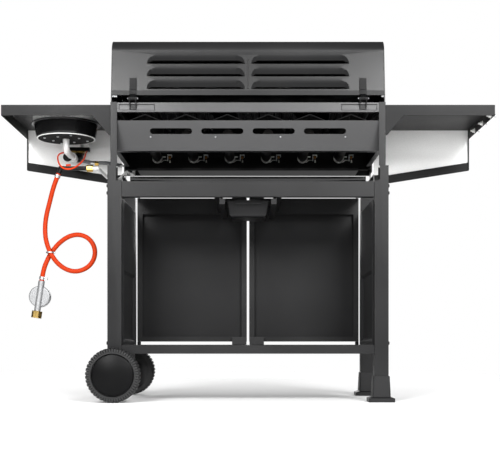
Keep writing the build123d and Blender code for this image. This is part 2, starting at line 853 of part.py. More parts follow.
# The lid's outer line, from its rear lower edge over the crown to its front lower edge
lid_line = [
    (at(lid_rear_foot), lid_rear_bottom),
    (at(lid_rear_bend), lid_rear_top),
    (at(lid_crown), lid_crown_top),
    (at(lid_front_bend), lid_front_top),
    (at(lid_front_foot), lid_front_bottom),
]
lid_bends = [lid_rear_round, lid_crown_round, lid_front_round]
shell_half = lid_width / 2 - lid_end_wall
rear_wall_rise = lid_line[1][1] - lid_line[0][1]
rear_wall_lean = lid_line[0][0] - lid_line[1][0]
rear_wall_length = hypot(rear_wall_rise, rear_wall_lean)
front_wall_fall = lid_line[3][1] - lid_line[4][1]
front_wall_run = lid_line[3][0] - lid_line[4][0]


def rear_wall_y(z):
    """The y of the lid's rear face at a height."""
    return lid_line[0][0] - rear_wall_lean * (z - lid_rear_bottom) / rear_wall_rise


def front_wall_y(z):
    """The y of the lid's front face at a height."""
    return lid_line[4][0] + front_wall_run * (z - lid_front_bottom) / front_wall_fall


def on_rear_wall(x, height):
    """A plane on the lid's rear face, x to the cook's right and y up the wall."""
    z = lid_rear_bottom + height * rear_wall_rise / rear_wall_length
    outward = (0, rear_wall_rise, rear_wall_lean)
    return Plane(origin=(x, rear_wall_y(z), z), x_dir=(-1, 0, 0), z_dir=outward)


def on_front_wall(x, z):
    """A plane on the lid's front face."""
    outward = (0, -front_wall_fall, front_wall_run)
    return Plane(origin=(x, front_wall_y(z), z), x_dir=(1, 0, 0), z_dir=outward)


def louvre(place):
    """Half of a slot-shaped hood, cut square along its mouth."""
    with BuildPart(place) as hood:
        with BuildSketch(place):
            SlotOverall(louvre_width, 2 * louvre_height)
        extrude(amount=louvre_depth, taper=58)
        split(bisect_by=Plane(origin=place.origin, z_dir=place.y_dir), keep=Keep.TOP)
    return hood.part


with BuildPart() as lid_shell:
    with BuildSketch(Plane.YZ) as lid_section:
        with BuildLine():
            FilletPolyline(*lid_line, radius=lid_bends)
            offset(amount=sheet, side=Side.LEFT)
        make_face()
    extrude(amount=shell_half, both=True)
    hem_y = rear_wall_y(lid_rear_bottom)
    louvre_places = [
        on_rear_wall(column * louvre_column / 2, louvre_first + row * louvre_pitch)
        for column in (-1, 1)
        for row in range(3)
    ]
    for place in louvre_places:
        add(louvre(place))
    for place in louvre_places:
        add(louvre(place.offset(-sheet)), mode=Mode.SUBTRACT)
    # rib between the two columns, and the hem along the lid's rear edge
    with BuildSketch(on_rear_wall(0, louvre_first + 1.2 * louvre_pitch)):
        SlotOverall(2.4 * louvre_pitch, lid_rib_width, rotation=90)
    extrude(amount=lid_rib_height, taper=20)
    with BuildSketch(on_rear_wall(0, lid_hem / 2)):
        Rectangle(2 * shell_half, lid_hem)
    extrude(amount=sheet)
    with BuildSketch(on_front_wall(0, thermometer_level)):
        Circle(4 + seat)
    extrude(amount=-10, mode=Mode.SUBTRACT)
keep(lid_shell.part, "lid_shell")

# End caps: plates that cover the shell's ends, down to the firebox's rim
with BuildPart() as lid_ends:
    for side in (-1, 1):
        cap_plane = Plane.YZ.offset(side * lid_width / 2 - (lid_end_wall if side > 0 else 0))
        with BuildSketch(cap_plane):
            with BuildLine():
                edge = FilletPolyline(*lid_line, radius=lid_bends)
                Polyline(edge @ 1, (lid_line[0][0], lid_front_bottom), edge @ 0)
            make_face()
        extrude(amount=lid_end_wall)
keep(lid_ends.part, "lid_ends")

# Lid handle: a straight bar on two posts
with BuildPart() as lid_handle:
    for side in (-1, 1):
        post_plane = on_front_wall(side * (lid_handle_length / 2 - lid_post_inset), lid_handle_level)
        with BuildSketch(post_plane):
            Circle(lid_handle_radius)
        extrude(amount=5)
        with BuildSketch(post_plane):
            Circle(lid_post_radius)
        extrude(amount=lid_handle_reach)
    bar_centre = on_front_wall(0, lid_handle_level).offset(lid_handle_reach).origin
    with BuildSketch(Plane(origin=bar_centre, z_dir=(1, 0, 0))):
        Circle(lid_handle_radius)
    extrude(amount=lid_handle_length / 2, both=True)
    bar_ends = faces().filter_by(Plane.YZ).edges()
    chamfer(bar_ends, length=2.5)
keep(lid_handle.part, "lid_handle")

# Thermometer: a dial case on the lid's front with its probe through the wall
with BuildPart() as lid_thermometer:
    dial_plane = on_front_wall(0, thermometer_level)
    with BuildSketch(dial_plane):
        Circle(thermometer_radius)
    extrude(amount=thermometer_depth, taper=6)
    with BuildSketch(dial_plane.offset(thermometer_depth)):
        Circle(thermometer_radius - 5)
    extrude(amount=-1.5, mode=Mode.SUBTRACT)
    with BuildSketch(dial_plane):
        Circle(4)
    extrude(amount=-34)
keep(lid_thermometer.part, "lid_thermometer")

# Hinge straps: lie on the lid's rear face and end in an eye round the pin
hinge_y = at(-hinge_standoff)
hem_step = sheet * rear_wall_length / rear_wall_rise
with BuildPart() as lid_straps:
    for side in (-1, 1):
        strap_x = side * hinge_spread / 2
        strap_middle = Plane.YZ.offset(strap_x)
        hem_top = lid_rear_bottom + 16
        flat = [
            (rear_wall_y(strap_top), strap_top),
            (rear_wall_y(hem_top), hem_top),
            (rear_wall_y(hem_top - sheet) + hem_step, hem_top - sheet),
            (rear_wall_y(lid_rear_bottom + 1) + hem_step, lid_rear_bottom + 1),
        ]
        extrude(folded(strap_middle, flat, strap_thickness), amount=strap_width / 2, both=True)
        neck = [
            (rear_wall_y(lid_rear_bottom + 1) + hem_step, lid_rear_bottom + 1),
            (hinge_y + 1, hinge_level + 3.5),
        ]
        with BuildSketch(strap_middle):
            add(folded(Plane.XY, neck, strap_thickness))
            with Locations((hinge_y, hinge_level)):
                Circle(hinge_eye_radius)
        extrude(amount=knuckle_width / 2, both=True)
        with BuildSketch(strap_middle):
            with Locations((hinge_y, hinge_level)):
                Circle(hinge_pin_radius + running)
        extrude(amount=strap_width, both=True, mode=Mode.SUBTRACT)
keep(lid_straps.part, "lid_straps")

# Hinge bases: two ears on a plate in the rail's recess, with the pin between them
ear_gap = knuckle_width / 2 + seat
ear = 2.0
base_face = rear_rail_setback + rail_recess
base_bottom = rear_rail_bottom + 7
base_top = rear_rail_bottom + 20
with BuildPart() as lid_hinge_bases:
    for side in (-1, 1):
        hinge_x = side * hinge_spread / 2
        base_x = (hinge_x - ear_gap - ear, hinge_x + ear_gap + ear)
        block(base_x, (at(base_face), at(base_face - ear)), (base_bottom, base_top))
        for ear_x in (hinge_x - ear_gap - ear, hinge_x + ear_gap):
            with BuildSketch(Plane.YZ.offset(ear_x)):
                with Locations((hinge_y, hinge_level)):
                    Circle(hinge_eye_radius)
                with Locations((at(base_face - ear / 2), base_bottom + 3.5)):
                    Rectangle(ear, 7)
                make_hull()
            extrude(amount=ear)
        with BuildSketch(Plane.YZ.offset(hinge_x)):
            with Locations((hinge_y, hinge_level)):
                Circle(hinge_pin_radius)
        extrude(amount=strap_width / 2 + 3, both=True)
        for head_x in (base_x[0] - 4, base_x[1]):
            with BuildSketch(Plane.YZ.offset(head_x)):
                with Locations((hinge_y, hinge_level)):
                    Circle(4.5)
            extrude(amount=4)
keep(lid_hinge_bases.part, "lid_hinge_bases")


# ---------------------------------------------------------------- side shelves

def side_shelf():
    """A pan turned down all round, its rear lip running into a gusset at the firebox."""
    with BuildPart() as shelf:
        block((end_outer, shelf_end), (at(shelf_depth), at(0)), (shelf_top - shelf_lip, shelf_top))
        shelf_bottom_face = faces().sort_by(Axis.Z)[0]
        offset(amount=-sheet, openings=shelf_bottom_face)
        lip_z = shelf_top - shelf_lip
        front_lip_y = (at(shelf_depth), at(shelf_depth - sheet))
        block((end_outer, shelf_end), front_lip_y, (shelf_top - shelf_front_lip, lip_z))
        gusset = [
            (end_outer, lip_z),
            (end_outer + gusset_width, lip_z),
            (end_outer + 4, lip_z - gusset_height),
            (end_outer, lip_z - gusset_height),
        ]
        extrude(outline(Plane.XZ.offset(-at(0)), gusset), amount=sheet)
    return shelf.part


with BuildPart() as shelf_right:
    add(side_shelf())
    with BuildSketch(Plane.XY.offset(shelf_top)):
        with Locations((bowl_x, at(bowl_setback))):
            Circle(bowl_radius + 2)
    extrude(amount=-2 * sheet, mode=Mode.SUBTRACT)
keep(shelf_right.part, "shelf_right")

shelf_left = reflected(side_shelf())
keep(shelf_left, "shelf_left")

# Fascia: the front board of a side shelf, its slanted lower edge hemmed at the back
fascia_back = shelf_depth - sheet
fascia_start = leg_outer + 1
fascia_corner = (shelf_end - sheet, shelf_underside - fascia_outer_drop)
fascia_bend = (fascia_knee, shelf_underside - fascia_inner_drop)
fascia_toe = (fascia_start, shelf_underside - fascia_inner_drop)
fascia_points = [
    (fascia_start, shelf_underside),
    (shelf_end - sheet, shelf_underside),
    fascia_corner,
    fascia_bend,
    fascia_toe,
]
hem_points = [
    (fascia_start, fascia_toe[1] + fascia_hem),
    (fascia_bend[0], fascia_bend[1] + fascia_hem),
    (fascia_corner[0], fascia_corner[1] + fascia_hem),
    fascia_corner,
    fascia_bend,
    fascia_toe,
]
with BuildPart() as fascia:
    fascia_plane = Plane.XZ.offset(-at(fascia_back - sheet))
    extrude(outline(fascia_plane, fascia_points), amount=sheet)
    hem_plane = Plane.XZ.offset(-at(fascia_back - hem_depth))
    extrude(outline(hem_plane, hem_points), amount=hem_depth - sheet / 2)
    groove_plane = Plane.XZ.offset(-at(fascia_back - hem_depth + sheet))
    groove = outline(groove_plane, [(x, z + sheet) for x, z in hem_points])
    extrude(groove, amount=hem_depth - 2 * sheet, mode=Mode.SUBTRACT)
    side_return_x = (shelf_end - 2 * sheet, shelf_end - sheet)
    return_z = (fascia_corner[1], shelf_underside)
    block(side_return_x, (at(fascia_back), at(fascia_back - 14)), return_z)
fascia_left = reflected(fascia.part)
keep(fascia_left, "fascia_left")
with BuildPart() as fascia_right:
    add(fascia.part)
    cylinder_along_y(side_knob_x, burner_level, fascia_back - 4, fascia_back + 4, stem_radius + 1, Mode.SUBTRACT)
keep(fascia_right.part, "fascia_right")

side_knob = knob(side_knob_x, fascia_back)
keep(side_knob, "side_burner_knob")

# Tool hooks: three pegs with knob ends, bolted through the left shelf's outer lip
with BuildPart() as tool_hooks:
    for i in range(3):
        hook_y = at(45 + i * hook_pitch)
        hook_z = shelf_top - shelf_lip / 2 - 6
        peg = Plane(origin=(-shelf_end, hook_y, hook_z), z_dir=(-1, 0, 0))
        with BuildSketch(peg):
            Circle(hook_radius)
        extrude(amount=hook_length)
        with BuildSketch(peg.offset(hook_length - hook_knob_length)):
            Circle(hook_knob_radius)
        extrude(amount=hook_knob_length)
        with BuildSketch(peg):
            Circle(hook_radius + 2.5)
        extrude(amount=2)
keep(tool_hooks.part, "tool_hooks")


# ---------------------------------------------------------------- side burner

bowl_axis = Axis((bowl_x, at(bowl_setback), 0), (0, 0, 1))
bowl_plane = Plane(origin=(bowl_x, at(bowl_setback), 0), x_dir=(1, 0, 0), z_dir=(0, -1, 0))
bowl_top = shelf_top + sheet

# Bowl: a pressed dish hung by its rim in the shelf's round opening
with BuildPart() as side_burner_bowl:
    with BuildSketch(bowl_plane):
        with BuildLine():
            FilletPolyline(
                (bowl_radius + bowl_rim, bowl_top),
                (bowl_radius, bowl_top),
                (bowl_floor_radius, bowl_floor),
                (neck_radius + 5, bowl_floor),
                radius=[2, 9],
            )
            offset(amount=sheet, side=Side.LEFT)
        make_face()
    revolve(axis=bowl_axis)
keep(side_burner_bowl.part, "side_burner_bowl")

# Burner head: a neck through the bowl's floor, a flange on it and a capped ring
with BuildPart() as side_burner_head:
    with BuildSketch(bowl_plane):
        with BuildLine():
            Polyline(
                (0, bowl_floor - 12),
                (neck_radius, bowl_floor - 12),
                (neck_radius, bowl_floor),
                (22, bowl_floor),
                (22, bowl_floor + 4),
                (12, bowl_floor + 8),
                (12, bowl_floor + 34),
                (34, bowl_floor + 40),
                (34, bowl_floor + 52),
                (38, bowl_floor + 52),
                (36, bowl_floor + 58),
                (0, bowl_floor + 60),
                close=True,
            )
        make_face()
    revolve(axis=bowl_axis)
keep(side_burner_head.part, "side_burner_head")

# Pot support: a ring on the bowl's rim with four arms
support_top = bowl_top + 15
with BuildPart() as pot_support:
    with BuildSketch(Plane(origin=(bowl_x, at(bowl_setback), bowl_top))):
        Circle(bowl_radius + bowl_rim - 1)
        Circle(bowl_radius, mode=Mode.SUBTRACT)
    extrude(amount=5)
    with BuildSketch(Plane(origin=(bowl_x, at(bowl_setback), bowl_top + 3))):
        with PolarLocations((bowl_radius + 28) / 2, 4, start_angle=45):
            Rectangle(bowl_radius - 22, 5)
    extrude(amount=support_top - bowl_top - 3)
keep(pot_support.part, "pot_support")

# Venturi: drops from the bowl's floor, turns to the front and opens at the tap
venturi_mouth = shelf_depth - 46
with BuildPart() as side_burner_venturi:
    drop = [
        (at(bowl_setback), bowl_floor - sheet - seat),
        (at(bowl_setback), venturi_level),
        (at(venturi_mouth), venturi_level),
    ]
    with BuildLine(Plane.YZ.offset(bowl_x)) as venturi_path:
        FilletPolyline(*drop, radius=16)
    with BuildSketch(Plane(origin=venturi_path.line @ 0, z_dir=venturi_path.line % 0)):
        Circle(venturi_radius)
    sweep()
    cylinder_along_y(bowl_x, venturi_level, venturi_mouth - 34, venturi_mouth, venturi_radius + 4)
    cylinder_along_y(bowl_x, venturi_level, venturi_mouth - 31, venturi_mouth, venturi_radius + 2, Mode.SUBTRACT)
    with Locations((bowl_x, at(bowl_setback), bowl_floor - sheet - 6)):
        Cylinder(neck_radius + 0.1, 14, mode=Mode.SUBTRACT)
keep(side_burner_venturi.part, "side_burner_venturi")

# ---------------------------------------------------------------- gas supply

# Gas hose: hangs from the inlet elbow, makes one loop and ends in the regulator
inlet_level = 679.2
hose_route = [
    (567.9, hose_setback, inlet_level),
    (581.7, hose_setback, 646.6),
    (595.5, hose_setback, 591.4),
    (605.5, hose_setback - 1, 551.0),
    (608.5, hose_setback - 4, 514.0),
    (605.2, hose_setback - 7, 477.7),
    (591.8, hose_setback - 9, 440.5),
    (572.0, hose_setback - 8, 410.6),
    (546.5, hose_setback - 6, 391.5),
    (519.0, hose_setback - 4, 384.0),
    (489.5, hose_setback - 2, 391.2),
    (466.5, hose_setback, 411.5),
    (457.1, hose_setback, 440.5),
    (464.2, hose_setback + 1, 469.8),
    (485.0, hose_setback + 3, 490.8),
    (513.5, hose_setback + 5, 498.1),
    (542.9, hose_setback + 7, 490.4),
    (569.6, hose_setback + 9, 471.0),
    (589.5, hose_setback + 8, 446.3),
    (603.6, hose_setback + 4, 419.4),
    (614.2, hose_setback, 388.9),
    (618.9, hose_setback, 357.2),
]
hose_points = [Vector(x, at(setback), z) for x, setback, z in hose_route]
hose_runs = [b - a for a, b in zip(hose_points, hose_points[1:])]
hose_radii = [
    0.45 * min(a.length, b.length) / tan(radians(a.get_angle(b) / 2))
    for a, b in zip(hose_runs, hose_runs[1:])
]
hose_start = hose_points[0]
hose_end = hose_points[-1]
inlet_down = hose_runs[0].normalized()
outlet_down = hose_runs[-1].normalized()
hose_radius = hose_diameter / 2
with BuildPart() as gas_hose:
    with BuildLine() as hose_line:
        FilletPolyline(*hose_points, radius=hose_radii)
    with BuildSketch(Plane(origin=hose_start, z_dir=inlet_down)):
        Circle(hose_radius)
        Circle(hose_bore, mode=Mode.SUBTRACT)
    sweep()
keep(gas_hose.part, "gas_hose")
hose_length = sum(edge.length for edge in hose_line.line.edges())
hose_section = pi * (hose_radius**2 - hose_bore**2)
print("hose radii", [round(radius, 1) for radius in hose_radii])
print("hose length", round(hose_length, 1))
print("hose volume over section times length", round(gas_hose.part.volume / hose_section / hose_length, 4))

# Hose clips: a crimped ring near each end, the lower one with its screw lug, and the
# wire tie round the two strands where the loop crosses itself
tie_x = 592.2
tie_z = 442.0
with BuildPart() as hose_clips:
    for ring_plane in (
        Plane(origin=hose_start + 4 * inlet_down, z_dir=inlet_down),
        Plane(origin=hose_end - 13 * outlet_down, z_dir=outlet_down),
    ):
        with BuildSketch(ring_plane):
            Circle(hose_radius + 1.6)
            Circle(hose_radius + running, mode=Mode.SUBTRACT)
        extrude(amount=9)
    lug = Plane(origin=hose_end - 13 * outlet_down, x_dir=(-1, 0, 0), z_dir=outlet_down)
    with BuildSketch(lug):
        with Locations((hose_radius + 5.1, 0)):
            Rectangle(8, 7)
    extrude(amount=8)
    with BuildSketch(Plane(origin=(tie_x, at(hose_setback), tie_z), x_dir=(0, 1, 0), z_dir=(0, 0, 1))):
        SlotOverall(4 * hose_radius + 12, 2 * hose_radius + 10)
        SlotOverall(4 * hose_radius + 8, 2 * hose_radius + 6, mode=Mode.SUBTRACT)
    extrude(amount=2, both=True)
keep(hose_clips.part, "hose_clips")

# Regulator: a round case on a straight body, barbed for the hose, spigoted for its nut
case_centre = hose_end + 47.3 * outlet_down
with BuildPart() as regulator:
    with BuildSketch(Plane(origin=(case_centre.X, at(hose_setback - 2), case_centre.Z), z_dir=(0, -1, 0))):
        Circle(regulator_radius)
    extrude(amount=regulator_depth)
    rims = edges().filter_by(GeomType.CIRCLE)
    fillet(rims, radius=4)
    with BuildSketch(Plane(origin=hose_end, z_dir=outlet_down)):
        Circle(hose_bore - running)
    extrude(amount=-15)
    with BuildSketch(Plane(origin=hose_end, z_dir=outlet_down)):
        Circle(9.5)
    extrude(amount=regulator_body)
    with BuildSketch(Plane(origin=hose_end + regulator_body * outlet_down, z_dir=outlet_down)):
        Circle(spigot_radius)
    extrude(amount=9)
    with BuildSketch(Plane(origin=hose_end + (regulator_body + 6.6) * outlet_down, z_dir=outlet_down)):
        Circle(collar_radius)
    extrude(amount=collar_length)
keep(regulator.part, "regulator")

# Regulator nut: a hexagon that turns on the spigot, bored for the bottle's thread
nut_place = Plane(origin=hose_end + (regulator_body + seat) * outlet_down, z_dir=outlet_down)
with BuildPart() as regulator_nut:
    with BuildSketch(nut_place):
        RegularPolygon(bottle_nut_flats / 2, 6, major_radius=False)
    extrude(amount=bottle_nut_length)
    with BuildSketch(nut_place):
        Circle(spigot_radius + running)
    extrude(amount=bottle_nut_length, mode=Mode.SUBTRACT)
    with BuildSketch(nut_place.offset(6)):
        Circle(collar_radius + running)
    extrude(amount=bottle_nut_length, mode=Mode.SUBTRACT)
    with BuildSketch(nut_place.offset(bottle_nut_length)):
        Circle(bottle_thread_radius)
    extrude(amount=-bottle_thread_length, mode=Mode.SUBTRACT)
keep(regulator_nut.part, "regulator_nut")

# Gas pipes: the supply from the union to the manifold, the black link before it and
# the branch from the manifold to the side burner's tap
elbow = hose_start - 17 * inlet_down
union_front = 465.0
union_back = 483.0
tap_back = fascia_back - sheet


def bent_tube(points, radius, bend):
    """A round tube along straight runs joined by bends."""
    with BuildPart() as tube:
        with BuildLine() as path:
            FilletPolyline(*points, radius=bend)
        with BuildSketch(Plane(origin=path.line @ 0, z_dir=path.line % 0)):
            Circle(radius)
        sweep()
    return tube.part


supply_route = [
    (union_front, at(hose_setback), elbow.Z),
    (union_front - 15, at(hose_setback), elbow.Z),
    (430, at(hose_setback + 92), elbow.Z - 17),
    (408, at(hose_setback + 165), elbow.Z - 8),
    (391, at(hose_setback + 225), supply_top - 26),
    (supply_x, at(manifold_from_rear), supply_top - 14),
    (supply_x, at(manifold_from_rear), supply_top),
]
branch_x = (end_outer + leg_outer - sheet) / 2
branch_route = [
    (manifold_end, at(manifold_from_rear), manifold_z),
    (branch_x, at(manifold_from_rear), manifold_z),
    (branch_x, at(shelf_depth - 20), manifold_z - 20),
    (446, at(shelf_depth - 62), manifold_z - 21),
    (500, at(shelf_depth - 65), manifold_z - 19),
    (514, at(shelf_depth - 26), manifold_z - 2),
    (side_knob_x - 13, at(shelf_depth - 26), manifold_z - 2),
]
with BuildPart() as gas_pipes:
    add(bent_tube(supply_route, supply_pipe_radius, 5))
    add(bent_tube(branch_route, branch_pipe_radius, 5))
    with BuildSketch(Plane(origin=(union_back, at(hose_setback), elbow.Z), z_dir=(1, 0, 0))):
        Circle(supply_pipe_radius + 1.5)
    extrude(amount=elbow.X - 9 - union_back)
keep(gas_pipes.part, "gas_pipes")

# Gas fittings: the inlet elbow with its hose barb, the union, the branch's nut and the
# side burner's tap with its stem through the fascia
branch_nut = Vector(*branch_route[4]) - Vector(*branch_route[3])
with BuildPart() as gas_fittings:
    with Locations(elbow):
        Sphere(8)
    with BuildSketch(Plane(origin=elbow, z_dir=inlet_down)):
        Circle(6.5)
    extrude(amount=17)
    with BuildSketch(Plane(origin=elbow, z_dir=inlet_down)):
        Circle(hose_bore - running)
    extrude(amount=17 + 14)
    with BuildSketch(Plane(origin=elbow, z_dir=(-1, 0, 0))):
        Circle(7)
    extrude(amount=9)
    with BuildSketch(Plane(origin=(union_front, at(hose_setback), elbow.Z), z_dir=(1, 0, 0))):
        RegularPolygon(10.5, 6)
    extrude(amount=union_back - union_front)
    nut_start = Vector(*branch_route[3]) + 30 * branch_nut.normalized()
    with BuildSketch(Plane(origin=nut_start, z_dir=branch_nut)):
        RegularPolygon(8, 6)
        Circle(branch_pipe_radius + running, mode=Mode.SUBTRACT)
    extrude(amount=12)
    tap_y = at(shelf_depth - 26)
    block((side_knob_x - 13, bowl_x + 4), (tap_y - 7, tap_y + 7), (venturi_level - 8, burner_level + 9))
    cylinder_along_y(bowl_x, venturi_level, venturi_mouth - 8, shelf_depth - 30, 5)
    cylinder_along_y(side_knob_x, burner_level, shelf_depth - 22, tap_back, 9)
    cylinder_along_y(side_knob_x, burner_level, tap_back - 3, tap_back, 14)
    cylinder_along_y(side_knob_x, burner_level, shelf_depth - 22, fascia_back + stem_reach, stem_radius)
keep(gas_fittings.part, "gas_fittings")


# ---------------------------------------------------------------- grease tray and cup

# Drip rails: an angle along each side for the tray, on the rear beam and the door
# header, and a pair of channels below for the cup, hung from the same two
rail_side = leg_inner - 2
cup_rail_outer = cup_rail_inner + cup_rail_size
with BuildPart() as drip_rails:
    rail_y = (at(header_back), at(beam_setback))
    rail_base = (rear_beam_top, rear_beam_top + sheet)
    block((rail_side - tray_rail_width, rail_side), rail_y, rail_base)
    block((rail_side - sheet, rail_side), rail_y, (rear_beam_top, rear_beam_top + tray_rail_height))
    block((cup_rail_inner, cup_rail_outer), rail_y, (cup_rail_top - sheet, cup_rail_top))
    block((cup_rail_outer - sheet, cup_rail_outer), rail_y, (cup_rail_top - cup_rail_size, rear_beam_bottom))
    cup_rail_base = (cup_rail_top - cup_rail_size, cup_rail_top - cup_rail_size + sheet)
    block((cup_rail_inner, cup_rail_outer), rail_y, cup_rail_base)
    rail_tab_y = (at(beam_setback + sheet), at(beam_setback))
    block((cup_rail_inner, cup_rail_outer), rail_tab_y, (cup_rail_top - cup_rail_size, cup_rail_top))
    hanger_x = (cup_rail_outer - sheet, cup_rail_outer + cup_hanger - 10)
    block(hanger_x, rail_y, (rear_beam_bottom - sheet, rear_beam_bottom))
    hanger_y = (at(header_back), at(header_back - sheet))
    block(hanger_x, hanger_y, (rear_beam_bottom - sheet, header_bottom + 36))
    mirror(about=Plane.YZ)
keep(drip_rails.part, "drip_rails")

# Grease tray: a shallow pan falling to the middle, its edges turned up over the rails
tray_half = rail_side - sheet - sheet
tray_base = rear_beam_top + sheet + seat
tray_ridge = tray_rim - 3.5
tray_path = [
    (0, tray_base + 0.2),
    (tray_half - 17, tray_ridge),
    (tray_half - 13, tray_base),
    (tray_half, tray_base),
    (tray_half, tray_rim),
    (tray_half - sheet, tray_rim),
    (tray_half - sheet, tray_base + sheet),
    (tray_half - 12, tray_base + sheet),
    (tray_half - 16, tray_ridge + sheet),
    (0, tray_base + sheet + 0.2),
]
with BuildPart() as grease_tray:
    extrude(outline(Plane.XZ.offset(-at(tray_from)), tray_path), amount=tray_to - tray_from)
    wall_points = [tray_path[0], tray_path[1], (tray_half - 17, tray_rim), (0, tray_rim)]
    for wall_at in (tray_from, tray_to - sheet):
        extrude(outline(Plane.XZ.offset(-at(wall_at)), wall_points), amount=sheet)
    mirror(about=Plane.YZ)
    with BuildSketch(Plane.XY.offset(tray_base - 1)):
        with Locations((0, at(drain_setback))):
            Circle(drain_radius)
    extrude(amount=tray_rim - tray_base, mode=Mode.SUBTRACT)
keep(grease_tray.part, "grease_tray")

# Grease cup: a drawn dish with a broad rim on the channels and a pull at the back
cup_top = cup_rail_top + seat + sheet
cup_y = at(drain_setback)


def cup_form(inset, corner):
    """The cup's tapered form, a distance inside its outer face."""
    with BuildPart() as form:
        with BuildSketch(Plane(origin=(0, cup_y, cup_top))):
            Rectangle(cup_width - 2 * inset, cup_length - 2 * inset)
        extrude(amount=inset - cup_depth - sheet, taper=10)
        fillet(faces().sort_by(Axis.Z)[0].edges(), radius=corner)
    return form.part


with BuildPart() as grease_cup:
    add(cup_form(0, 12))
    add(cup_form(sheet, 12 - sheet), mode=Mode.SUBTRACT)
    with BuildSketch(Plane(origin=(0, cup_y, cup_top))):
        Rectangle(cup_width + 2 * cup_rim, cup_length + 6)
        Rectangle(cup_width - 2 * sheet, cup_length - 2 * sheet, mode=Mode.SUBTRACT)
    extrude(amount=-sheet)
    pull_back = cup_y + cup_length / 2 + cup_rim
    block((-37, 37), (cup_y + cup_length / 2, pull_back), (cup_top - sheet, cup_top))
    block((-37, 37), (pull_back - sheet, pull_back), (cup_top - 11, cup_top))
keep(grease_cup.part, "grease_cup")
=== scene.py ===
import bpy
import bmesh
import json
from math import cos, pi, radians, sin
from mathutils import Matrix, Vector

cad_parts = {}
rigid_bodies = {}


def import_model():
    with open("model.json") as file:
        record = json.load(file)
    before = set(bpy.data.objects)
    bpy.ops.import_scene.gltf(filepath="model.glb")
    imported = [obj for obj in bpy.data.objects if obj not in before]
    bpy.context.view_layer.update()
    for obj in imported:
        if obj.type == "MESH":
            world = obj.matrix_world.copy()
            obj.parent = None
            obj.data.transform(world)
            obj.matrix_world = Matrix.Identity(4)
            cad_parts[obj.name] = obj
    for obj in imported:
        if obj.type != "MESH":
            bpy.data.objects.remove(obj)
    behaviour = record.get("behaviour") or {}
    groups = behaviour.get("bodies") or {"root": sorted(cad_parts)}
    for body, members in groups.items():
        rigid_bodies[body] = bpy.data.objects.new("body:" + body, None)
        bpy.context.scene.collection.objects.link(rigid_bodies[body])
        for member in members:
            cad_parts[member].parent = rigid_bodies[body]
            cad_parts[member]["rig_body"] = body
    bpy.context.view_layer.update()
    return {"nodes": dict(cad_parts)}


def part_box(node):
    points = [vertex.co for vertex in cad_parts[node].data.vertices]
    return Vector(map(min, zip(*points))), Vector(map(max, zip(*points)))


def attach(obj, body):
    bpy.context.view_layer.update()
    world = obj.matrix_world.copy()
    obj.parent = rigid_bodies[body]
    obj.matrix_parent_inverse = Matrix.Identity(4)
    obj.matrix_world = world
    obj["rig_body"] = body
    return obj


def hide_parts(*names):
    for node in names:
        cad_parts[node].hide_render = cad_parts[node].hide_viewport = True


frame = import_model()
cad = frame["nodes"]


# ------------------------------------------------------------------ camera
# The view from behind the barbecue, from just under the height of the floor shelf,
# square to its back, with the frame shifted up to take in the lid.
camera_data = bpy.data.cameras.new("camera")
camera_data.sensor_width = 36
camera_data.lens = 72
camera_data.shift_x = 0.004
camera_data.shift_y = 0.232
camera_data.clip_end = 60
camera = bpy.data.objects.new("camera", camera_data)
camera.location = (0, 3.125, 0.177)
camera.rotation_euler = (radians(90), 0, radians(180))
bpy.context.scene.collection.objects.link(camera)
bpy.context.scene.camera = camera
bpy.context.scene.view_settings.view_transform = "Standard"


# ------------------------------------------------------------------ gas hose
# An orange-red rubber gas hose, 14 mm across, pushed on the inlet's barb. It hangs in
# one loop, wired where it crosses itself, and ends on the regulator's barb.
def new_material(name):
    """An empty material with its Principled shader, node list and links."""
    material = bpy.data.materials.new(name)
    material.use_nodes = True
    nodes = material.node_tree.nodes
    return material, nodes["Principled BSDF"], nodes, material.node_tree.links


def set_plain(shader, roughness, metallic=0.0, **other):
    """Constant values of a shader, each on its own socket."""
    shader.inputs["Roughness"].default_value = roughness
    shader.inputs["Metallic"].default_value = metallic
    for socket, value in other.items():
        shader.inputs[socket.replace("_", " ")].default_value = value


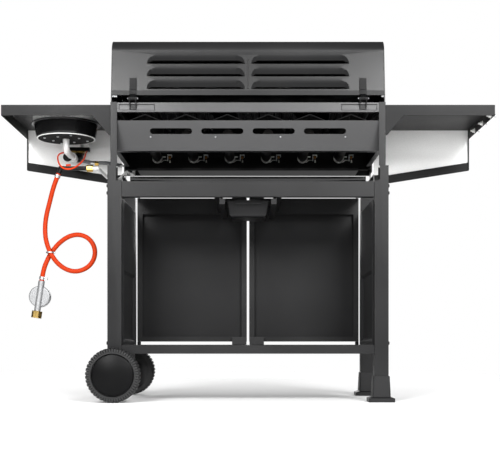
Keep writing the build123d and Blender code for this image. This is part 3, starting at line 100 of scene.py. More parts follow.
def surface_group(name):
    """A node group that tones, speckles and roughens a finish in object space, and pales convex edges, partly
    as rubbed wear and partly as a painted highlight where edges catch the light.
    """
    group = bpy.data.node_groups.new(name, "ShaderNodeTree")
    made = group.interface
    made.new_socket("Colour", in_out="INPUT", socket_type="NodeSocketColor")
    made.new_socket("Worn and highlight colour", in_out="INPUT", socket_type="NodeSocketColor")
    for label, value in (
        ("Roughness", 0.4),
        ("Grain scale", 900.0),
        ("Speckle", 0.15),
        ("Patch scale", 7.0),
        ("Patches", 0.12),
        ("Edge wear and highlight", 0.3),
    ):
        made.new_socket(label, in_out="INPUT", socket_type="NodeSocketFloat").default_value = value
    made.new_socket("Colour", in_out="OUTPUT", socket_type="NodeSocketColor")
    made.new_socket("Roughness", in_out="OUTPUT", socket_type="NodeSocketFloat")
    made.new_socket("Height", in_out="OUTPUT", socket_type="NodeSocketFloat")
    nodes = group.nodes
    links = group.links
    come_in = nodes.new("NodeGroupInput")
    go_out = nodes.new("NodeGroupOutput")
    place = nodes.new("ShaderNodeTexCoord")
    grain = nodes.new("ShaderNodeTexNoise")
    grain.inputs["Detail"].default_value = 2
    patch = nodes.new("ShaderNodeTexNoise")
    patch.inputs["Detail"].default_value = 4
    links.new(place.outputs["Object"], grain.inputs["Vector"])
    links.new(place.outputs["Object"], patch.inputs["Vector"])
    links.new(come_in.outputs["Grain scale"], grain.inputs["Scale"])
    links.new(come_in.outputs["Patch scale"], patch.inputs["Scale"])

    def value(operation, first, second, third=None):
        node = nodes.new("ShaderNodeMath")
        node.operation = operation
        for socket, given in zip(node.inputs, (first, second, third)):
            if given is None:
                continue
            if isinstance(given, float):
                socket.default_value = given
            else:
                links.new(given, socket)
        return node.outputs[0]

    speckle = value("SUBTRACT", grain.outputs["Fac"], 0.5)
    speckle = value("MULTIPLY", speckle, come_in.outputs["Speckle"])
    blotch = value("SUBTRACT", patch.outputs["Fac"], 0.5)
    blotch = value("MULTIPLY", blotch, come_in.outputs["Patches"])
    tone = value("ADD", speckle, blotch)
    tone = value("MULTIPLY_ADD", tone, 2.0, 1.0)
    toned = nodes.new("ShaderNodeVectorMath")
    toned.operation = "SCALE"
    links.new(come_in.outputs["Colour"], toned.inputs[0])
    links.new(tone, toned.inputs["Scale"])
    # convex edges found by pointiness take the pale colour: partly rubbed wear, partly a painted highlight on
    # edges catching the light
    corner = nodes.new("ShaderNodeNewGeometry")
    edge = nodes.new("ShaderNodeMapRange")
    edge.inputs["From Min"].default_value = 0.53
    edge.inputs["From Max"].default_value = 0.6
    links.new(corner.outputs["Pointiness"], edge.inputs["Value"])
    wear_and_highlight = value("MULTIPLY", edge.outputs["Result"], come_in.outputs["Edge wear and highlight"])
    wear_and_highlight = value("MULTIPLY", wear_and_highlight, patch.outputs["Fac"])
    mixed = nodes.new("ShaderNodeMix")
    mixed.data_type = "RGBA"
    links.new(wear_and_highlight, mixed.inputs["Factor"])
    links.new(toned.outputs["Vector"], mixed.inputs["A"])
    links.new(come_in.outputs["Worn and highlight colour"], mixed.inputs["B"])
    rough = value("MULTIPLY_ADD", blotch, 1.2, come_in.outputs["Roughness"])
    links.new(mixed.outputs["Result"], go_out.inputs["Colour"])
    links.new(rough, go_out.inputs["Roughness"])
    links.new(grain.outputs["Fac"], go_out.inputs["Height"])
    return group


finish_group = surface_group("toned finish")


def finished(name, colour, roughness, metallic=0.0, bump=0.1, depth=0.0003, wear_and_highlight=None, values=None, **other):
    """A material with the toned finish feeding its colour, roughness and bump."""
    material, shader, nodes, links = new_material(name)
    set_plain(shader, roughness, metallic, **other)
    finish = nodes.new("ShaderNodeGroup")
    finish.node_tree = finish_group
    finish.inputs["Colour"].default_value = (*colour, 1)
    finish.inputs["Worn and highlight colour"].default_value = (*(wear_and_highlight or [min(1, 2.2 * c + 0.02) for c in colour]), 1)
    finish.inputs["Roughness"].default_value = roughness
    for label, value in (values or {}).items():
        finish.inputs[label].default_value = value
    bump_node = nodes.new("ShaderNodeBump")
    bump_node.inputs["Strength"].default_value = bump
    bump_node.inputs["Distance"].default_value = depth
    links.new(finish.outputs["Height"], bump_node.inputs["Height"])
    links.new(finish.outputs["Colour"], shader.inputs["Base Color"])
    links.new(finish.outputs["Roughness"], shader.inputs["Roughness"])
    links.new(bump_node.outputs["Normal"], shader.inputs["Normal"])
    return material


def dress(piece, material):
    """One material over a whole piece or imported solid."""
    piece.data.materials.clear()
    piece.data.materials.append(material)


hose_rubber = finished(
    "hose_rubber", (0.37, 0.026, 0.002), 0.5, bump=0.08, depth=0.0002,
    values={"Grain scale": 1400.0, "Speckle": 0.05, "Patches": 0.1, "Edge wear and highlight": 0.0}, Specular_IOR_Level=0.12,
)
hose_route = [
    (0.5679, 0.1250, 0.6792),
    (0.5817, 0.1250, 0.6466),
    (0.5955, 0.1250, 0.5914),
    (0.6055, 0.1260, 0.5510),
    (0.6085, 0.1290, 0.5140),
    (0.6052, 0.1320, 0.4777),
    (0.5918, 0.1340, 0.4405),
    (0.5720, 0.1330, 0.4106),
    (0.5465, 0.1310, 0.3915),
    (0.5190, 0.1290, 0.3840),
    (0.4895, 0.1270, 0.3912),
    (0.4665, 0.1250, 0.4115),
    (0.4571, 0.1250, 0.4405),
    (0.4642, 0.1240, 0.4698),
    (0.4850, 0.1220, 0.4908),
    (0.5135, 0.1200, 0.4981),
    (0.5429, 0.1180, 0.4904),
    (0.5696, 0.1160, 0.4710),
    (0.5895, 0.1170, 0.4463),
    (0.6036, 0.1210, 0.4194),
    (0.6142, 0.1250, 0.3889),
    (0.6189, 0.1250, 0.3572),
]
hose_curve = bpy.data.curves.new("gas_hose_line", "CURVE")
hose_curve.dimensions = "3D"
hose_curve.bevel_depth = 0.007
hose_curve.bevel_resolution = 6
hose_curve.use_fill_caps = True
hose_spline = hose_curve.splines.new("NURBS")
hose_spline.points.add(len(hose_route) - 1)
for point, place in zip(hose_spline.points, hose_route):
    point.co = (*place, 1)
hose_spline.order_u = 3
hose_spline.use_endpoint_u = True
hose_spline.resolution_u = 10
red_hose = bpy.data.objects.new("red_hose", hose_curve)
bpy.context.scene.collection.objects.link(red_hose)
hose_curve.materials.append(hose_rubber)
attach(red_hose, "cart")
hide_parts("gas_hose")

fitting_zinc = finished(
    "fitting_zinc", (0.62, 0.63, 0.64), 0.34, 0.9, bump=0.25, depth=0.0002,
    values={"Grain scale": 700.0, "Speckle": 0.12, "Patches": 0.1},
)
cast_alloy = finished(
    "cast_alloy", (0.32, 0.324, 0.33), 0.46, 0.75, bump=0.35, depth=0.0003,
    values={"Grain scale": 1100.0, "Speckle": 0.2, "Patches": 0.15},
)
turned_brass = finished(
    "turned_brass", (0.42, 0.26, 0.045), 0.27, 0.95, bump=0.08, depth=0.0002,
    wear_and_highlight=(0.95, 0.8, 0.45), values={"Grain scale": 500.0, "Speckle": 0.1, "Patches": 0.3},
)
dress(cad["hose_clips"], fitting_zinc)
dress(cad["regulator"], cast_alloy)
dress(cad["regulator_nut"], turned_brass)


# ------------------------------------------------------------------ studio
# A plain pale floor that fades into a white surround. A broad soft lamp hangs overhead,
# two behind the barbecue light its back, and low ones lighten the floor from both sides.
def studio_paper(name, shade):
    """Matt paper that takes the shadows, and fades away into the surround further off."""
    material, shader, nodes, links = new_material(name)
    set_plain(shader, 0.95, Specular_IOR_Level=0.0)
    shader.inputs["Base Color"].default_value = (*shade, 1)
    place = nodes.new("ShaderNodeTexCoord")
    reach = nodes.new("ShaderNodeVectorMath")
    reach.operation = "LENGTH"
    fade = nodes.new("ShaderNodeMapRange")
    fade.interpolation_type = "SMOOTHSTEP"
    fade.inputs["From Min"].default_value = 1.3
    fade.inputs["From Max"].default_value = 2.9
    clear = nodes.new("ShaderNodeBsdfTransparent")
    mix = nodes.new("ShaderNodeMixShader")
    links.new(place.outputs["Object"], reach.inputs[0])
    links.new(reach.outputs["Value"], fade.inputs["Value"])
    links.new(fade.outputs["Result"], mix.inputs["Fac"])
    links.new(shader.outputs["BSDF"], mix.inputs[1])
    links.new(clear.outputs["BSDF"], mix.inputs[2])
    links.new(mix.outputs["Shader"], nodes["Material Output"].inputs["Surface"])
    return material


bpy.ops.object.select_all(action="DESELECT")
bpy.ops.mesh.primitive_plane_add(size=6, location=(0, 0, -0.0005))
floor = bpy.context.object
floor.name = "floor"
dress(floor, studio_paper("floor_paper", (0.93, 0.93, 0.93)))


def soft_lamp(name, place, aim, size, power, mirrored=True):
    """An area lamp that looks at a point, seen in reflections or not."""
    data = bpy.data.lights.new(name, "AREA")
    data.shape = "RECTANGLE"
    data.size = size[0]
    data.size_y = size[1]
    data.energy = power
    lamp = bpy.data.objects.new(name, data)
    lamp.location = place
    turn = (Vector(aim) - Vector(place)).to_track_quat("-Z", "Y")
    lamp.rotation_euler = turn.to_euler()
    lamp.visible_glossy = mirrored
    bpy.context.scene.collection.objects.link(lamp)


soft_lamp("overhead", (0, 0.5, 4.2), (0, 0.4, 0), (6, 5), 110, False)
soft_lamp("behind_left", (1.3, 3.3, 2.0), (0.2, 0, 0.85), (1.1, 1.3), 118)
soft_lamp("behind_right", (-1.3, 3.3, 2.0), (-0.2, 0, 0.85), (1.1, 1.3), 118)
soft_lamp("behind_low", (0, 4.2, 0.75), (0, 0, 0.5), (5.0, 0.9), 98, False)
soft_lamp("in_front", (0, -4.0, 1.6), (0, 0, 0.4), (5.0, 1.6), 95)
surround = bpy.data.worlds.new("surround")
surround.use_nodes = True
bpy.context.scene.world = surround
world_nodes = surround.node_tree.nodes
world_links = surround.node_tree.links
white = world_nodes["Background"]
white.inputs["Color"].default_value = (1, 1, 1, 1)
seen = world_nodes.new("ShaderNodeLightPath")
for_surfaces = world_nodes.new("ShaderNodeMath")
for_surfaces.operation = "MULTIPLY_ADD"
for_surfaces.inputs[1].default_value = 0.2
for_surfaces.inputs[2].default_value = 0.06
strength = world_nodes.new("ShaderNodeMath")
strength.operation = "MULTIPLY_ADD"
strength.inputs[1].default_value = 0.94
world_links.new(seen.outputs["Is Diffuse Ray"], for_surfaces.inputs[0])
world_links.new(seen.outputs["Is Camera Ray"], strength.inputs[0])
world_links.new(for_surfaces.outputs[0], strength.inputs[2])
world_links.new(strength.outputs[0], white.inputs["Strength"])


# ------------------------------------------------------------------ cart
# Four folded steel legs, two upper beams, a floor pan and two side pressings, powder
# coated in fine satin black and bolted together. Their corners are painted paler, partly as
# rubbed wear and partly as a painted highlight where the edges catch the light.
powder_coat = finished(
    "powder_coat", (0.008, 0.008, 0.0084), 0.38, bump=0.22, depth=0.0003, wear_and_highlight=(0.06, 0.06, 0.06),
    Specular_IOR_Level=0.24,
    values={"Grain scale": 1500.0, "Speckle": 0.35, "Patch scale": 5.0, "Patches": 0.14, "Edge wear and highlight": 0.2},
)


def sole(piece):
    """Only this piece is selected, and it is the active one."""
    bpy.ops.object.select_all(action="DESELECT")
    piece.select_set(True)
    bpy.context.view_layer.objects.active = piece


def apply_all(piece):
    """Applies a piece's modifiers in their order."""
    sole(piece)
    for modifier in list(piece.modifiers):
        bpy.ops.object.modifier_apply(modifier=modifier.name)


def smooth(piece, angle):
    """Smooth over curves, flat over the big faces beside them, sharp past an angle."""
    sole(piece)
    bpy.ops.object.shade_smooth_by_angle(angle=radians(angle))
    even = piece.modifiers.new("even", "WEIGHTED_NORMAL")
    even.keep_sharp = True
    apply_all(piece)


def eased(node, name, material, radius=0.0006, angle=35):
    """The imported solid's own form with its edges eased and its curves smooth."""
    source = cad[node]
    piece = bpy.data.objects.new(name, source.data.copy())
    bpy.context.scene.collection.objects.link(piece)
    sole(piece)
    bpy.ops.object.mode_set(mode="EDIT")
    bpy.ops.mesh.select_all(action="SELECT")
    bpy.ops.mesh.remove_doubles(threshold=0.00002)
    bpy.ops.mesh.dissolve_limited(angle_limit=radians(1.5))
    bpy.ops.object.mode_set(mode="OBJECT")
    if radius:
        ease = piece.modifiers.new("ease", "BEVEL")
        ease.width = radius
        ease.segments = 2
        ease.limit_method = "ANGLE"
        ease.angle_limit = radians(angle)
        ease.use_clamp_overlap = True
        apply_all(piece)
    smooth(piece, angle)
    dress(piece, material)
    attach(piece, source["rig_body"])
    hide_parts(node)
    return piece


# the side pressings wear the cart's black painted a lighter grey, as painted light for the fill that would
# reach their inner faces
side_panel_painted_light = finished(
    "side_panel_painted_light", (0.022, 0.022, 0.023), 0.36, bump=0.2, depth=0.0003, wear_and_highlight=(0.06, 0.06, 0.06),
    values={"Grain scale": 1500.0, "Speckle": 0.35, "Patch scale": 5.0, "Patches": 0.14, "Edge wear and highlight": 0.1},
)
eased("wheel_legs", "legs_over_wheels", powder_coat)
eased("foot_legs", "legs_over_feet", powder_coat)
eased("upper_rear_beam", "rear_beam", powder_coat)
eased("door_header", "header_beam", powder_coat)
eased("floor_shelf", "floor_pan", powder_coat)
eased("side_panel_right", "right_side_pressing", side_panel_painted_light)
eased("side_panel_left", "left_side_pressing", side_panel_painted_light)

# pan-head screws, one form copied with its own mesh wherever sheet is screwed
def screw_form():
    """A zinc pan head with a cross recess, 1 across, its seat at the origin, facing +Z."""
    bpy.ops.object.select_all(action="DESELECT")
    bpy.ops.mesh.primitive_cylinder_add(vertices=20, radius=0.5, depth=0.3, location=(0, 0, 0.15))
    head = bpy.context.object
    bpy.ops.object.mode_set(mode="EDIT")
    bpy.ops.mesh.select_all(action="DESELECT")
    mesh = bmesh.from_edit_mesh(head.data)
    for face in mesh.faces:
        face.select = face.normal.z > 0.9
    bpy.ops.mesh.inset(thickness=0.12, depth=0.08)
    bpy.ops.mesh.inset(thickness=0.2)
    bpy.ops.mesh.extrude_region_move(TRANSFORM_OT_translate={"value": (0, 0, -0.14)})
    bpy.ops.transform.resize(value=(0.6, 0.6, 1))
    bpy.ops.object.mode_set(mode="OBJECT")
    bpy.ops.object.shade_smooth_by_angle(angle=radians(40))
    bpy.ops.object.transform_apply(location=True, rotation=True, scale=True)
    return head


screw_head = screw_form()
screw_head.hide_render = True
screw_head.name = "screw_pattern"


def screwed(name, body, material, places, facing, across=0.008):
    """Screw heads at some places on faces that look one way, joined to one piece."""
    turn = Vector(facing).to_track_quat("Z", "X").to_matrix().to_4x4()
    joined = bmesh.new()
    for place in places:
        one = screw_head.data.copy()
        one.transform(Matrix.Translation(place) @ turn @ Matrix.Scale(across, 4))
        joined.from_mesh(one)
        bpy.data.meshes.remove(one)
    mesh = bpy.data.meshes.new(name)
    joined.to_mesh(mesh)
    joined.free()
    piece = bpy.data.objects.new(name, mesh)
    bpy.context.scene.collection.objects.link(piece)
    sole(piece)
    bpy.ops.object.shade_smooth_by_angle(angle=radians(40))
    dress(piece, material)
    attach(piece, body)
    return piece


leg_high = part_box("wheel_legs")[1]
pan_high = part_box("floor_shelf")[1]
beam_low, beam_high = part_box("upper_rear_beam")
leg_screws = []
for side in (-1, 1):
    for z in (pan_high.z - 0.012, beam_low.z + 0.012, beam_high.z - 0.012):
        for y in (leg_high.y - 0.012, leg_high.y - 0.03):
            leg_screws.append((side * leg_high.x, y, z))
right_screws = [place for place in leg_screws if place[0] > 0]
left_screws = [place for place in leg_screws if place[0] < 0]
screwed("right_leg_screws", "cart", powder_coat, right_screws, (1, 0, 0), 0.010)
screwed("left_leg_screws", "cart", powder_coat, left_screws, (-1, 0, 0), 0.010)


# ------------------------------------------------------------------ feet
# Two hollow moulded feet in satin black plastic, each a flared boot that the leg
# stands in, on a broad base that spreads the load on soft ground.
moulded_black = finished(
    "moulded_black", (0.009, 0.009, 0.0095), 0.45, bump=0.35, depth=0.0003, wear_and_highlight=(0.06, 0.06, 0.06),
    Specular_IOR_Level=0.3,
    values={"Grain scale": 1000.0, "Speckle": 0.2, "Patches": 0.1, "Edge wear and highlight": 0.4},
)
eased("feet", "moulded_feet", moulded_black, 0.0012)


# ------------------------------------------------------------------ doors
# Two pan-shaped sheet doors that turn on pins between the header and the floor pan,
# with bent chromed bow handles and a pair of magnetic catches at top and bottom.
eased("door_right", "right_door_pan", powder_coat)
eased("door_left", "left_door_pan", powder_coat)
brushed_steel = finished(
    "brushed_steel", (0.56, 0.56, 0.55), 0.32, 0.95, bump=0.12, depth=0.0002, wear_and_highlight=(0.8, 0.8, 0.8),
    values={"Grain scale": 600.0, "Speckle": 0.1, "Patches": 0.14},
)
eased("door_handle_right", "right_door_bow", brushed_steel, 0)
eased("door_handle_left", "left_door_bow", brushed_steel, 0)
eased("door_catches", "magnetic_catches", moulded_black, 0.0008)


# ------------------------------------------------------------------ wheels
# Hard black plastic wheels with a lugged tread, on a plain steel axle through both
# legs. A glossy domed cap snaps into the outer side of each.
tread_black = finished(
    "tread_black", (0.007, 0.007, 0.0074), 0.6, bump=0.5, depth=0.0004, wear_and_highlight=(0.09, 0.09, 0.09),
    values={"Grain scale": 800.0, "Speckle": 0.25, "Patch scale": 12.0, "Patches": 0.25, "Edge wear and highlight": 0.5},
)
cap_black = finished(
    "cap_black", (0.002, 0.002, 0.0022), 0.42, bump=0.05, depth=0.0002, Specular_IOR_Level=0.12,
    values={"Grain scale": 500.0, "Speckle": 0.05, "Patches": 0.12, "Edge wear and highlight": 0.2},
)
eased("wheel_rear", "rear_wheel_moulding", tread_black, 0.0006)
eased("wheel_front", "front_wheel_moulding", tread_black, 0.0006)
# made pieces: bars and turned rings gathered in one form, then finished together
def rod(form, start, end, radius, end_radius=None, sides=24):
    """A round bar or cone between two points, added to a form."""
    run = Vector(end) - Vector(start)
    turn = run.to_track_quat("Z", "X").to_matrix().to_4x4()
    place = Matrix.Translation((Vector(start) + Vector(end)) / 2) @ turn
    far_radius = radius if end_radius is None else end_radius
    bmesh.ops.create_cone(
        form, cap_ends=True, segments=sides, radius1=radius, radius2=far_radius, depth=run.length, matrix=place
    )


def bar(form, low, high):
    """A square bar between two corners, added to a form."""
    size = Vector(high) - Vector(low)
    place = Matrix.Translation((Vector(low) + Vector(high)) / 2) @ Matrix.Diagonal((*size, 1))
    bmesh.ops.create_cube(form, size=1, matrix=place)


def turned(form, foot, axis, outline, sides=48):
    """A closed outline of (radius, height) points turned round an axis, added to a form."""
    turn = Vector(axis).to_track_quat("Z", "X").to_matrix().to_4x4()
    place = Matrix.Translation(foot) @ turn
    rings = []
    for i in range(sides):
        angle = 2 * pi * i / sides
        ring = [form.verts.new(place @ Vector((r * cos(angle), r * sin(angle), h))) for r, h in outline]
        rings.append(ring)
    for i in range(sides):
        near = rings[i]
        far = rings[(i + 1) % sides]
        for j in range(len(outline)):
            k = (j + 1) % len(outline)
            form.faces.new((near[j], near[k], far[k], far[j]))


def made(form, name, body, material, slot, radius=0.0004, angle=35):
    """A form as a finished piece, its edges eased and its curves smooth."""
    bmesh.ops.remove_doubles(form, verts=form.verts, dist=0.000001)
    bmesh.ops.recalc_face_normals(form, faces=form.faces)
    mesh = bpy.data.meshes.new(name)
    form.to_mesh(mesh)
    form.free()
    piece = bpy.data.objects.new(name, mesh)
    bpy.context.scene.collection.objects.link(piece)
    if radius:
        ease = piece.modifiers.new("ease", "BEVEL")
        ease.width = radius
        ease.segments = 2
        ease.limit_method = "ANGLE"
        ease.angle_limit = radians(angle)
        apply_all(piece)
    smooth(piece, angle)
    dress(piece, material)
    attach(piece, body)
    return piece


# ribs round the side wall outside a thin ring, on a darker ring that is painted shade in the groove between
# them
rib_count = 60
for node, name, outward in (("wheel_rear", "rear_wheel_ribs", 1), ("wheel_front", "front_wheel_ribs", -1)):
    low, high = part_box(node)
    middle = (low + high) / 2
    face_y = high.y if outward > 0 else low.y
    wheel_radius = (high.z - low.z) / 2
    hub = (middle.x, face_y, middle.z)
    ribs = bmesh.new()
    rib_size = Matrix.Diagonal((0.0040, 0.0040, 0.105 * wheel_radius, 1))
    rib_out = Matrix.Translation((0, 0, 0.905 * wheel_radius))
    for i in range(rib_count):
        turn = Matrix.Translation(hub) @ Matrix.Rotation(2 * pi * i / rib_count, 4, "Y")
        bmesh.ops.create_cube(ribs, size=1, matrix=turn @ rib_out @ rib_size)
    ring = [(0.80, -0.002), (0.80, 0.0012), (0.82, 0.0012), (0.82, -0.002)]
    turned(ribs, hub, (0, outward, 0), [(wheel_radius * share, h) for share, h in ring], 96)
    made(ribs, name, cad[node]["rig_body"], tread_black, "tyre", 0.0004)
    # a flat annulus of darker black under the ribs, painted shade for the groove between them
    rib_shade_ring = bmesh.new()
    bed = [(0.86, -0.001), (0.86, 0.0003), (0.955, 0.0003), (0.955, -0.001)]
    turned(rib_shade_ring, hub, (0, outward, 0), [(wheel_radius * share, h) for share, h in bed], 96)
    made(rib_shade_ring, name + "_groove", cad[node]["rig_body"], cap_black, "tyre", 0)
eased("hub_cap_rear", "rear_wheel_cap", cap_black, 0.0005)
eased("hub_cap_front", "front_wheel_cap", cap_black, 0.0005)
dress(cad["wheel_axle"], fitting_zinc)


# ------------------------------------------------------------------ firebox
# Folded and powder coated sheet: flanged end plates on the legs, a rail and a slotted
# slope at the back and a pierced front wall. Zinc screws hold the slope to its ends.
firebox_coat = finished(
    "firebox_coat", (0.035, 0.035, 0.036), 0.34, bump=0.2, depth=0.0003, wear_and_highlight=(0.1, 0.1, 0.1),
    values={"Grain scale": 1500.0, "Speckle": 0.35, "Patch scale": 6.0, "Patches": 0.2, "Edge wear and highlight": 0.15},
)
sooty_steel = finished(
    "sooty_steel", (0.010, 0.010, 0.010), 0.8, bump=0.4, depth=0.0004, Specular_IOR_Level=0.12,
    values={"Grain scale": 500.0, "Speckle": 0.3, "Patches": 0.4, "Edge wear and highlight": 0.0},
)
eased("firebox_end_right", "right_end_plate", powder_coat)
eased("firebox_end_left", "left_end_plate", powder_coat)
eased("firebox_rear_rail", "rear_rail", firebox_coat)
eased("firebox_rear_panel", "rear_slope", firebox_coat, 0.0004)
dress(cad["firebox_front_wall"], sooty_steel)
slope_screws = []
for x in (-0.285, -0.095, 0.095, 0.285):
    slope_screws.append((x, 0.1975, 0.7745))
screwed("slope_screws", "cart", cast_alloy, slope_screws, (0, 0.876, -0.482), 0.0052)

# igniters: where each burner passes the front wall it wears a pale cast collar, and beside
# it a bent zinc bracket holds a white electrode, with the copper end of the tap behind
collar_iron = finished(
    "collar_iron", (0.6, 0.6, 0.58), 0.35, 0.3, bump=0.5, depth=0.0005, wear_and_highlight=(0.8, 0.8, 0.76),
    values={"Grain scale": 260.0, "Speckle": 0.5, "Patches": 0.5, "Edge wear and highlight": 0.6},
)
bracket_zinc = finished(
    "bracket_zinc", (0.85, 0.85, 0.83), 0.38, 0.15, bump=0.3, depth=0.0003, wear_and_highlight=(0.8, 0.8, 0.78),
    values={"Grain scale": 420.0, "Speckle": 0.25, "Patches": 0.3},
)
spark_ceramic = finished(
    "spark_ceramic", (0.8, 0.79, 0.74), 0.25, bump=0.05, depth=0.0002,
    values={"Grain scale": 300.0, "Patches": 0.1},
)
tap_copper = finished(
    "tap_copper", (0.42, 0.19, 0.05), 0.35, 0.4, bump=0.1, depth=0.0002, wear_and_highlight=(0.6, 0.35, 0.12),
    values={"Grain scale": 420.0, "Patches": 0.4},
)
collars = bmesh.new()
brackets = bmesh.new()
electrodes = bmesh.new()
tap_ends = bmesh.new()
wall_y = -0.1885
burner_pitch = 0.12
burner_level = 0.782
collar_outline = [(0.0125, 0), (0.0165, 0), (0.0175, 0.004), (0.0165, 0.008), (0.0125, 0.008)]
for i in range(6):
    x = burner_pitch * (i - 2.5)
    turned(collars, (x, wall_y, burner_level), (0, 1, 0), collar_outline)
    bar(brackets, (x - 0.027, wall_y, 0.7845), (x - 0.017, wall_y + 0.003, 0.7885))
    bar(brackets, (x - 0.036, wall_y, 0.7745), (x - 0.019, wall_y + 0.002, 0.7765))
    bar(brackets, (x - 0.036, wall_y, 0.7725), (x - 0.033, wall_y + 0.008, 0.7885))
    bar(brackets, (x - 0.048, wall_y, 0.7905), (x - 0.033, wall_y + 0.010, 0.7930))
    bar(brackets, (x - 0.0485, wall_y, 0.7845), (x - 0.0465, wall_y + 0.008, 0.7930))
    rod(brackets, (x - 0.012, wall_y + 0.006, 0.7672), (x - 0.020, wall_y + 0.006, 0.7735), 0.0012)
    rod(tap_ends, (x - 0.041, wall_y, 0.7835), (x - 0.041, wall_y + 0.009, 0.7835), 0.0045, 0.0038)
    rod(electrodes, (x - 0.042, wall_y + 0.006, 0.7665), (x - 0.042, wall_y + 0.006, 0.7755), 0.0026, 0.0021)
made(collars, "burner_collars", "cart", collar_iron, "black_coat")
made(brackets, "igniter_brackets", "cart", bracket_zinc, "plated_steel", 0.0003)
made(tap_ends, "tap_ends", "cart", tap_copper, "brass")
made(electrodes, "igniter_electrodes", "cart", spark_ceramic, "plated_steel", 0.0003)

# stamped steel burners heat-tinted by use, bent sheet over them to spread the heat, and
# enamelled cast iron grates, with a chromed wire rack above
burnt_steel = finished(
    "burnt_steel", (0.02, 0.019, 0.018), 0.5, 0.5, bump=0.2, depth=0.0003, wear_and_highlight=(0.1, 0.09, 0.085),
    values={"Grain scale": 500.0, "Speckle": 0.15, "Patch scale": 14.0, "Patches": 0.5, "Edge wear and highlight": 0.3},
)
grate_iron = finished(
    "grate_iron", (0.01, 0.01, 0.0105), 0.5, bump=0.8, depth=0.0006, wear_and_highlight=(0.08, 0.075, 0.07),
    values={"Grain scale": 380.0, "Speckle": 0.3, "Patches": 0.3, "Edge wear and highlight": 0.5},
)
rack_chrome = finished(
    "rack_chrome", (0.72, 0.72, 0.72), 0.16, 1.0, bump=0.03, depth=0.0002, wear_and_highlight=(0.85, 0.85, 0.85),
    values={"Grain scale": 400.0, "Speckle": 0.05, "Patches": 0.1},
)
dress(cad["burners"], burnt_steel)
dress(cad["flame_tamers"], sooty_steel)
eased("cooking_grates", "iron_grates", grate_iron, 0.0012)
dress(cad["warming_rack"], rack_chrome)


# ------------------------------------------------------------------ control panel and gas
# A deep folded panel across the front with a bevelled top edge. Behind it an alloy
# manifold feeds six taps, whose stems carry the moulded knobs.
eased("control_panel", "front_panel", powder_coat)
dress(cad["gas_manifold"], cast_alloy)
printed_white = finished(
    "printed_white", (0.75, 0.75, 0.73), 0.5, bump=0.03, depth=0.0001,
    values={"Grain scale": 900.0, "Speckle": 0.04, "Patches": 0.05, "Edge wear and highlight": 0.0},
)


def marked_knob(node, name, face_y):
    """A knob with a white line down its grip, and three printed dots on the sheet behind."""
    eased(node, name, cap_black, 0.0008)
    low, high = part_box(node)
    middle = (low + high) / 2
    line = bmesh.new()
    line_foot = (middle.x - 0.0009, low.y - 0.0003, middle.z + 0.006)
    line_tip = (middle.x + 0.0009, low.y + 0.0006, high.z - 0.003)
    bar(line, line_foot, line_tip)
    made(line, name + "_line", cad[node]["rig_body"], printed_white, "black_plastic", 0)
    marks = bmesh.new()
    reach = high.z - middle.z + 0.005
    for across, up, width in ((0, 1, 0.004), (-1, 0, 0.006), (-0.7071, -0.7071, 0.003)):
        spot = Vector((middle.x + reach * across, face_y, middle.z + reach * up))
        rod(marks, spot - Vector((0, 0.0002, 0)), spot + Vector((0, 0.0006, 0)), width / 2, sides=20)
    made(marks, name + "_marks", "cart", printed_white, "black_coat", 0)


panel_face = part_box("control_panel")[0].y
for i in range(1, 7):
    marked_knob("burner_knob_%d" % i, "knob_%d" % i, panel_face)


# ------------------------------------------------------------------ lid
# One bent sheet with six pressed louvres and a folded hem, capped at both ends by flat
# plates. Satin black outside, it turns on two steel straps riveted to its back.
lid_coat = finished(
    "lid_coat", (0.010, 0.010, 0.0103), 0.33, bump=0.18, depth=0.0003, wear_and_highlight=(0.06, 0.06, 0.06),
    values={"Grain scale": 1500.0, "Speckle": 0.3, "Patch scale": 4.0, "Patches": 0.16, "Edge wear and highlight": 0.1},
)
louvred_shell = eased("lid_shell", "louvred_shell", lid_coat, 0, 14)

# each hood leans out evenly from its crease to its mouth, so it catches another light
wall_foot = Vector((0, 0.221, 0.891))
wall_up = Vector((0, -0.024, 0.169)).normalized()
wall_out = Vector((0, 0.169, 0.024)).normalized()
mouth_rise = (0.002, 0.0035, 0.0065)
for point in louvred_shell.data.vertices:
    from_foot = point.co - wall_foot
    row, above = divmod(from_foot @ wall_up - 0.0185, 0.0384)
    above = max(0, above - 0.0005)
    out = from_foot @ wall_out
    if not 0 <= row < 3 or out < 0.004 or above > 0.027:
        continue
    if above < 0.001:
        above = mouth_rise[int(row)]
        point.co += wall_up * above
    point.co -= wall_out * 0.010 * above / 0.028
louvred_shell.data.materials.append(powder_coat)
for face in louvred_shell.data.polygons:
    from_foot = face.center - wall_foot
    if -0.001 < from_foot @ wall_up < 0.0143 and from_foot @ wall_out > -0.003:
        face.material_index = 1
smooth(louvred_shell, 14)
eased("lid_ends", "lid_caps", lid_coat, 0.0008)
strap_black = finished(
    "strap_black", (0.003, 0.003, 0.0032), 0.36, bump=0.2, depth=0.0003, wear_and_highlight=(0.04, 0.04, 0.04),
    Specular_IOR_Level=0.16,
    values={"Grain scale": 1500.0, "Speckle": 0.2, "Patches": 0.14, "Edge wear and highlight": 0.3},
)
eased("lid_straps", "hinge_straps", strap_black, 0.0008)
eased("lid_hinge_bases", "hinge_bases", powder_coat, 0.0004)

# the heads of the hinge pins at both sides of each knuckle, and a stub at each lid end
pin_heads = bmesh.new()
for side in (-1, 1):
    for inner, outer in ((0.3478, 0.3500), (0.3202, 0.3180)):
        rod(pin_heads, (side * inner, 0.233, 0.8785), (side * outer, 0.233, 0.8785), 0.0028, 0.0022)
rod(pin_heads, (0.380, 0.2235, 0.8868), (0.394, 0.2235, 0.8868), 0.0028)
rod(pin_heads, (-0.394, 0.2235, 0.8868), (-0.387, 0.2235, 0.8868), 0.0028)
made(pin_heads, "hinge_pin_heads", "lid", cast_alloy, "plated_steel")
eased("lid_handle", "lid_bar", brushed_steel, 0.0005)
eased("lid_thermometer", "dial_case", brushed_steel, 0.0005)

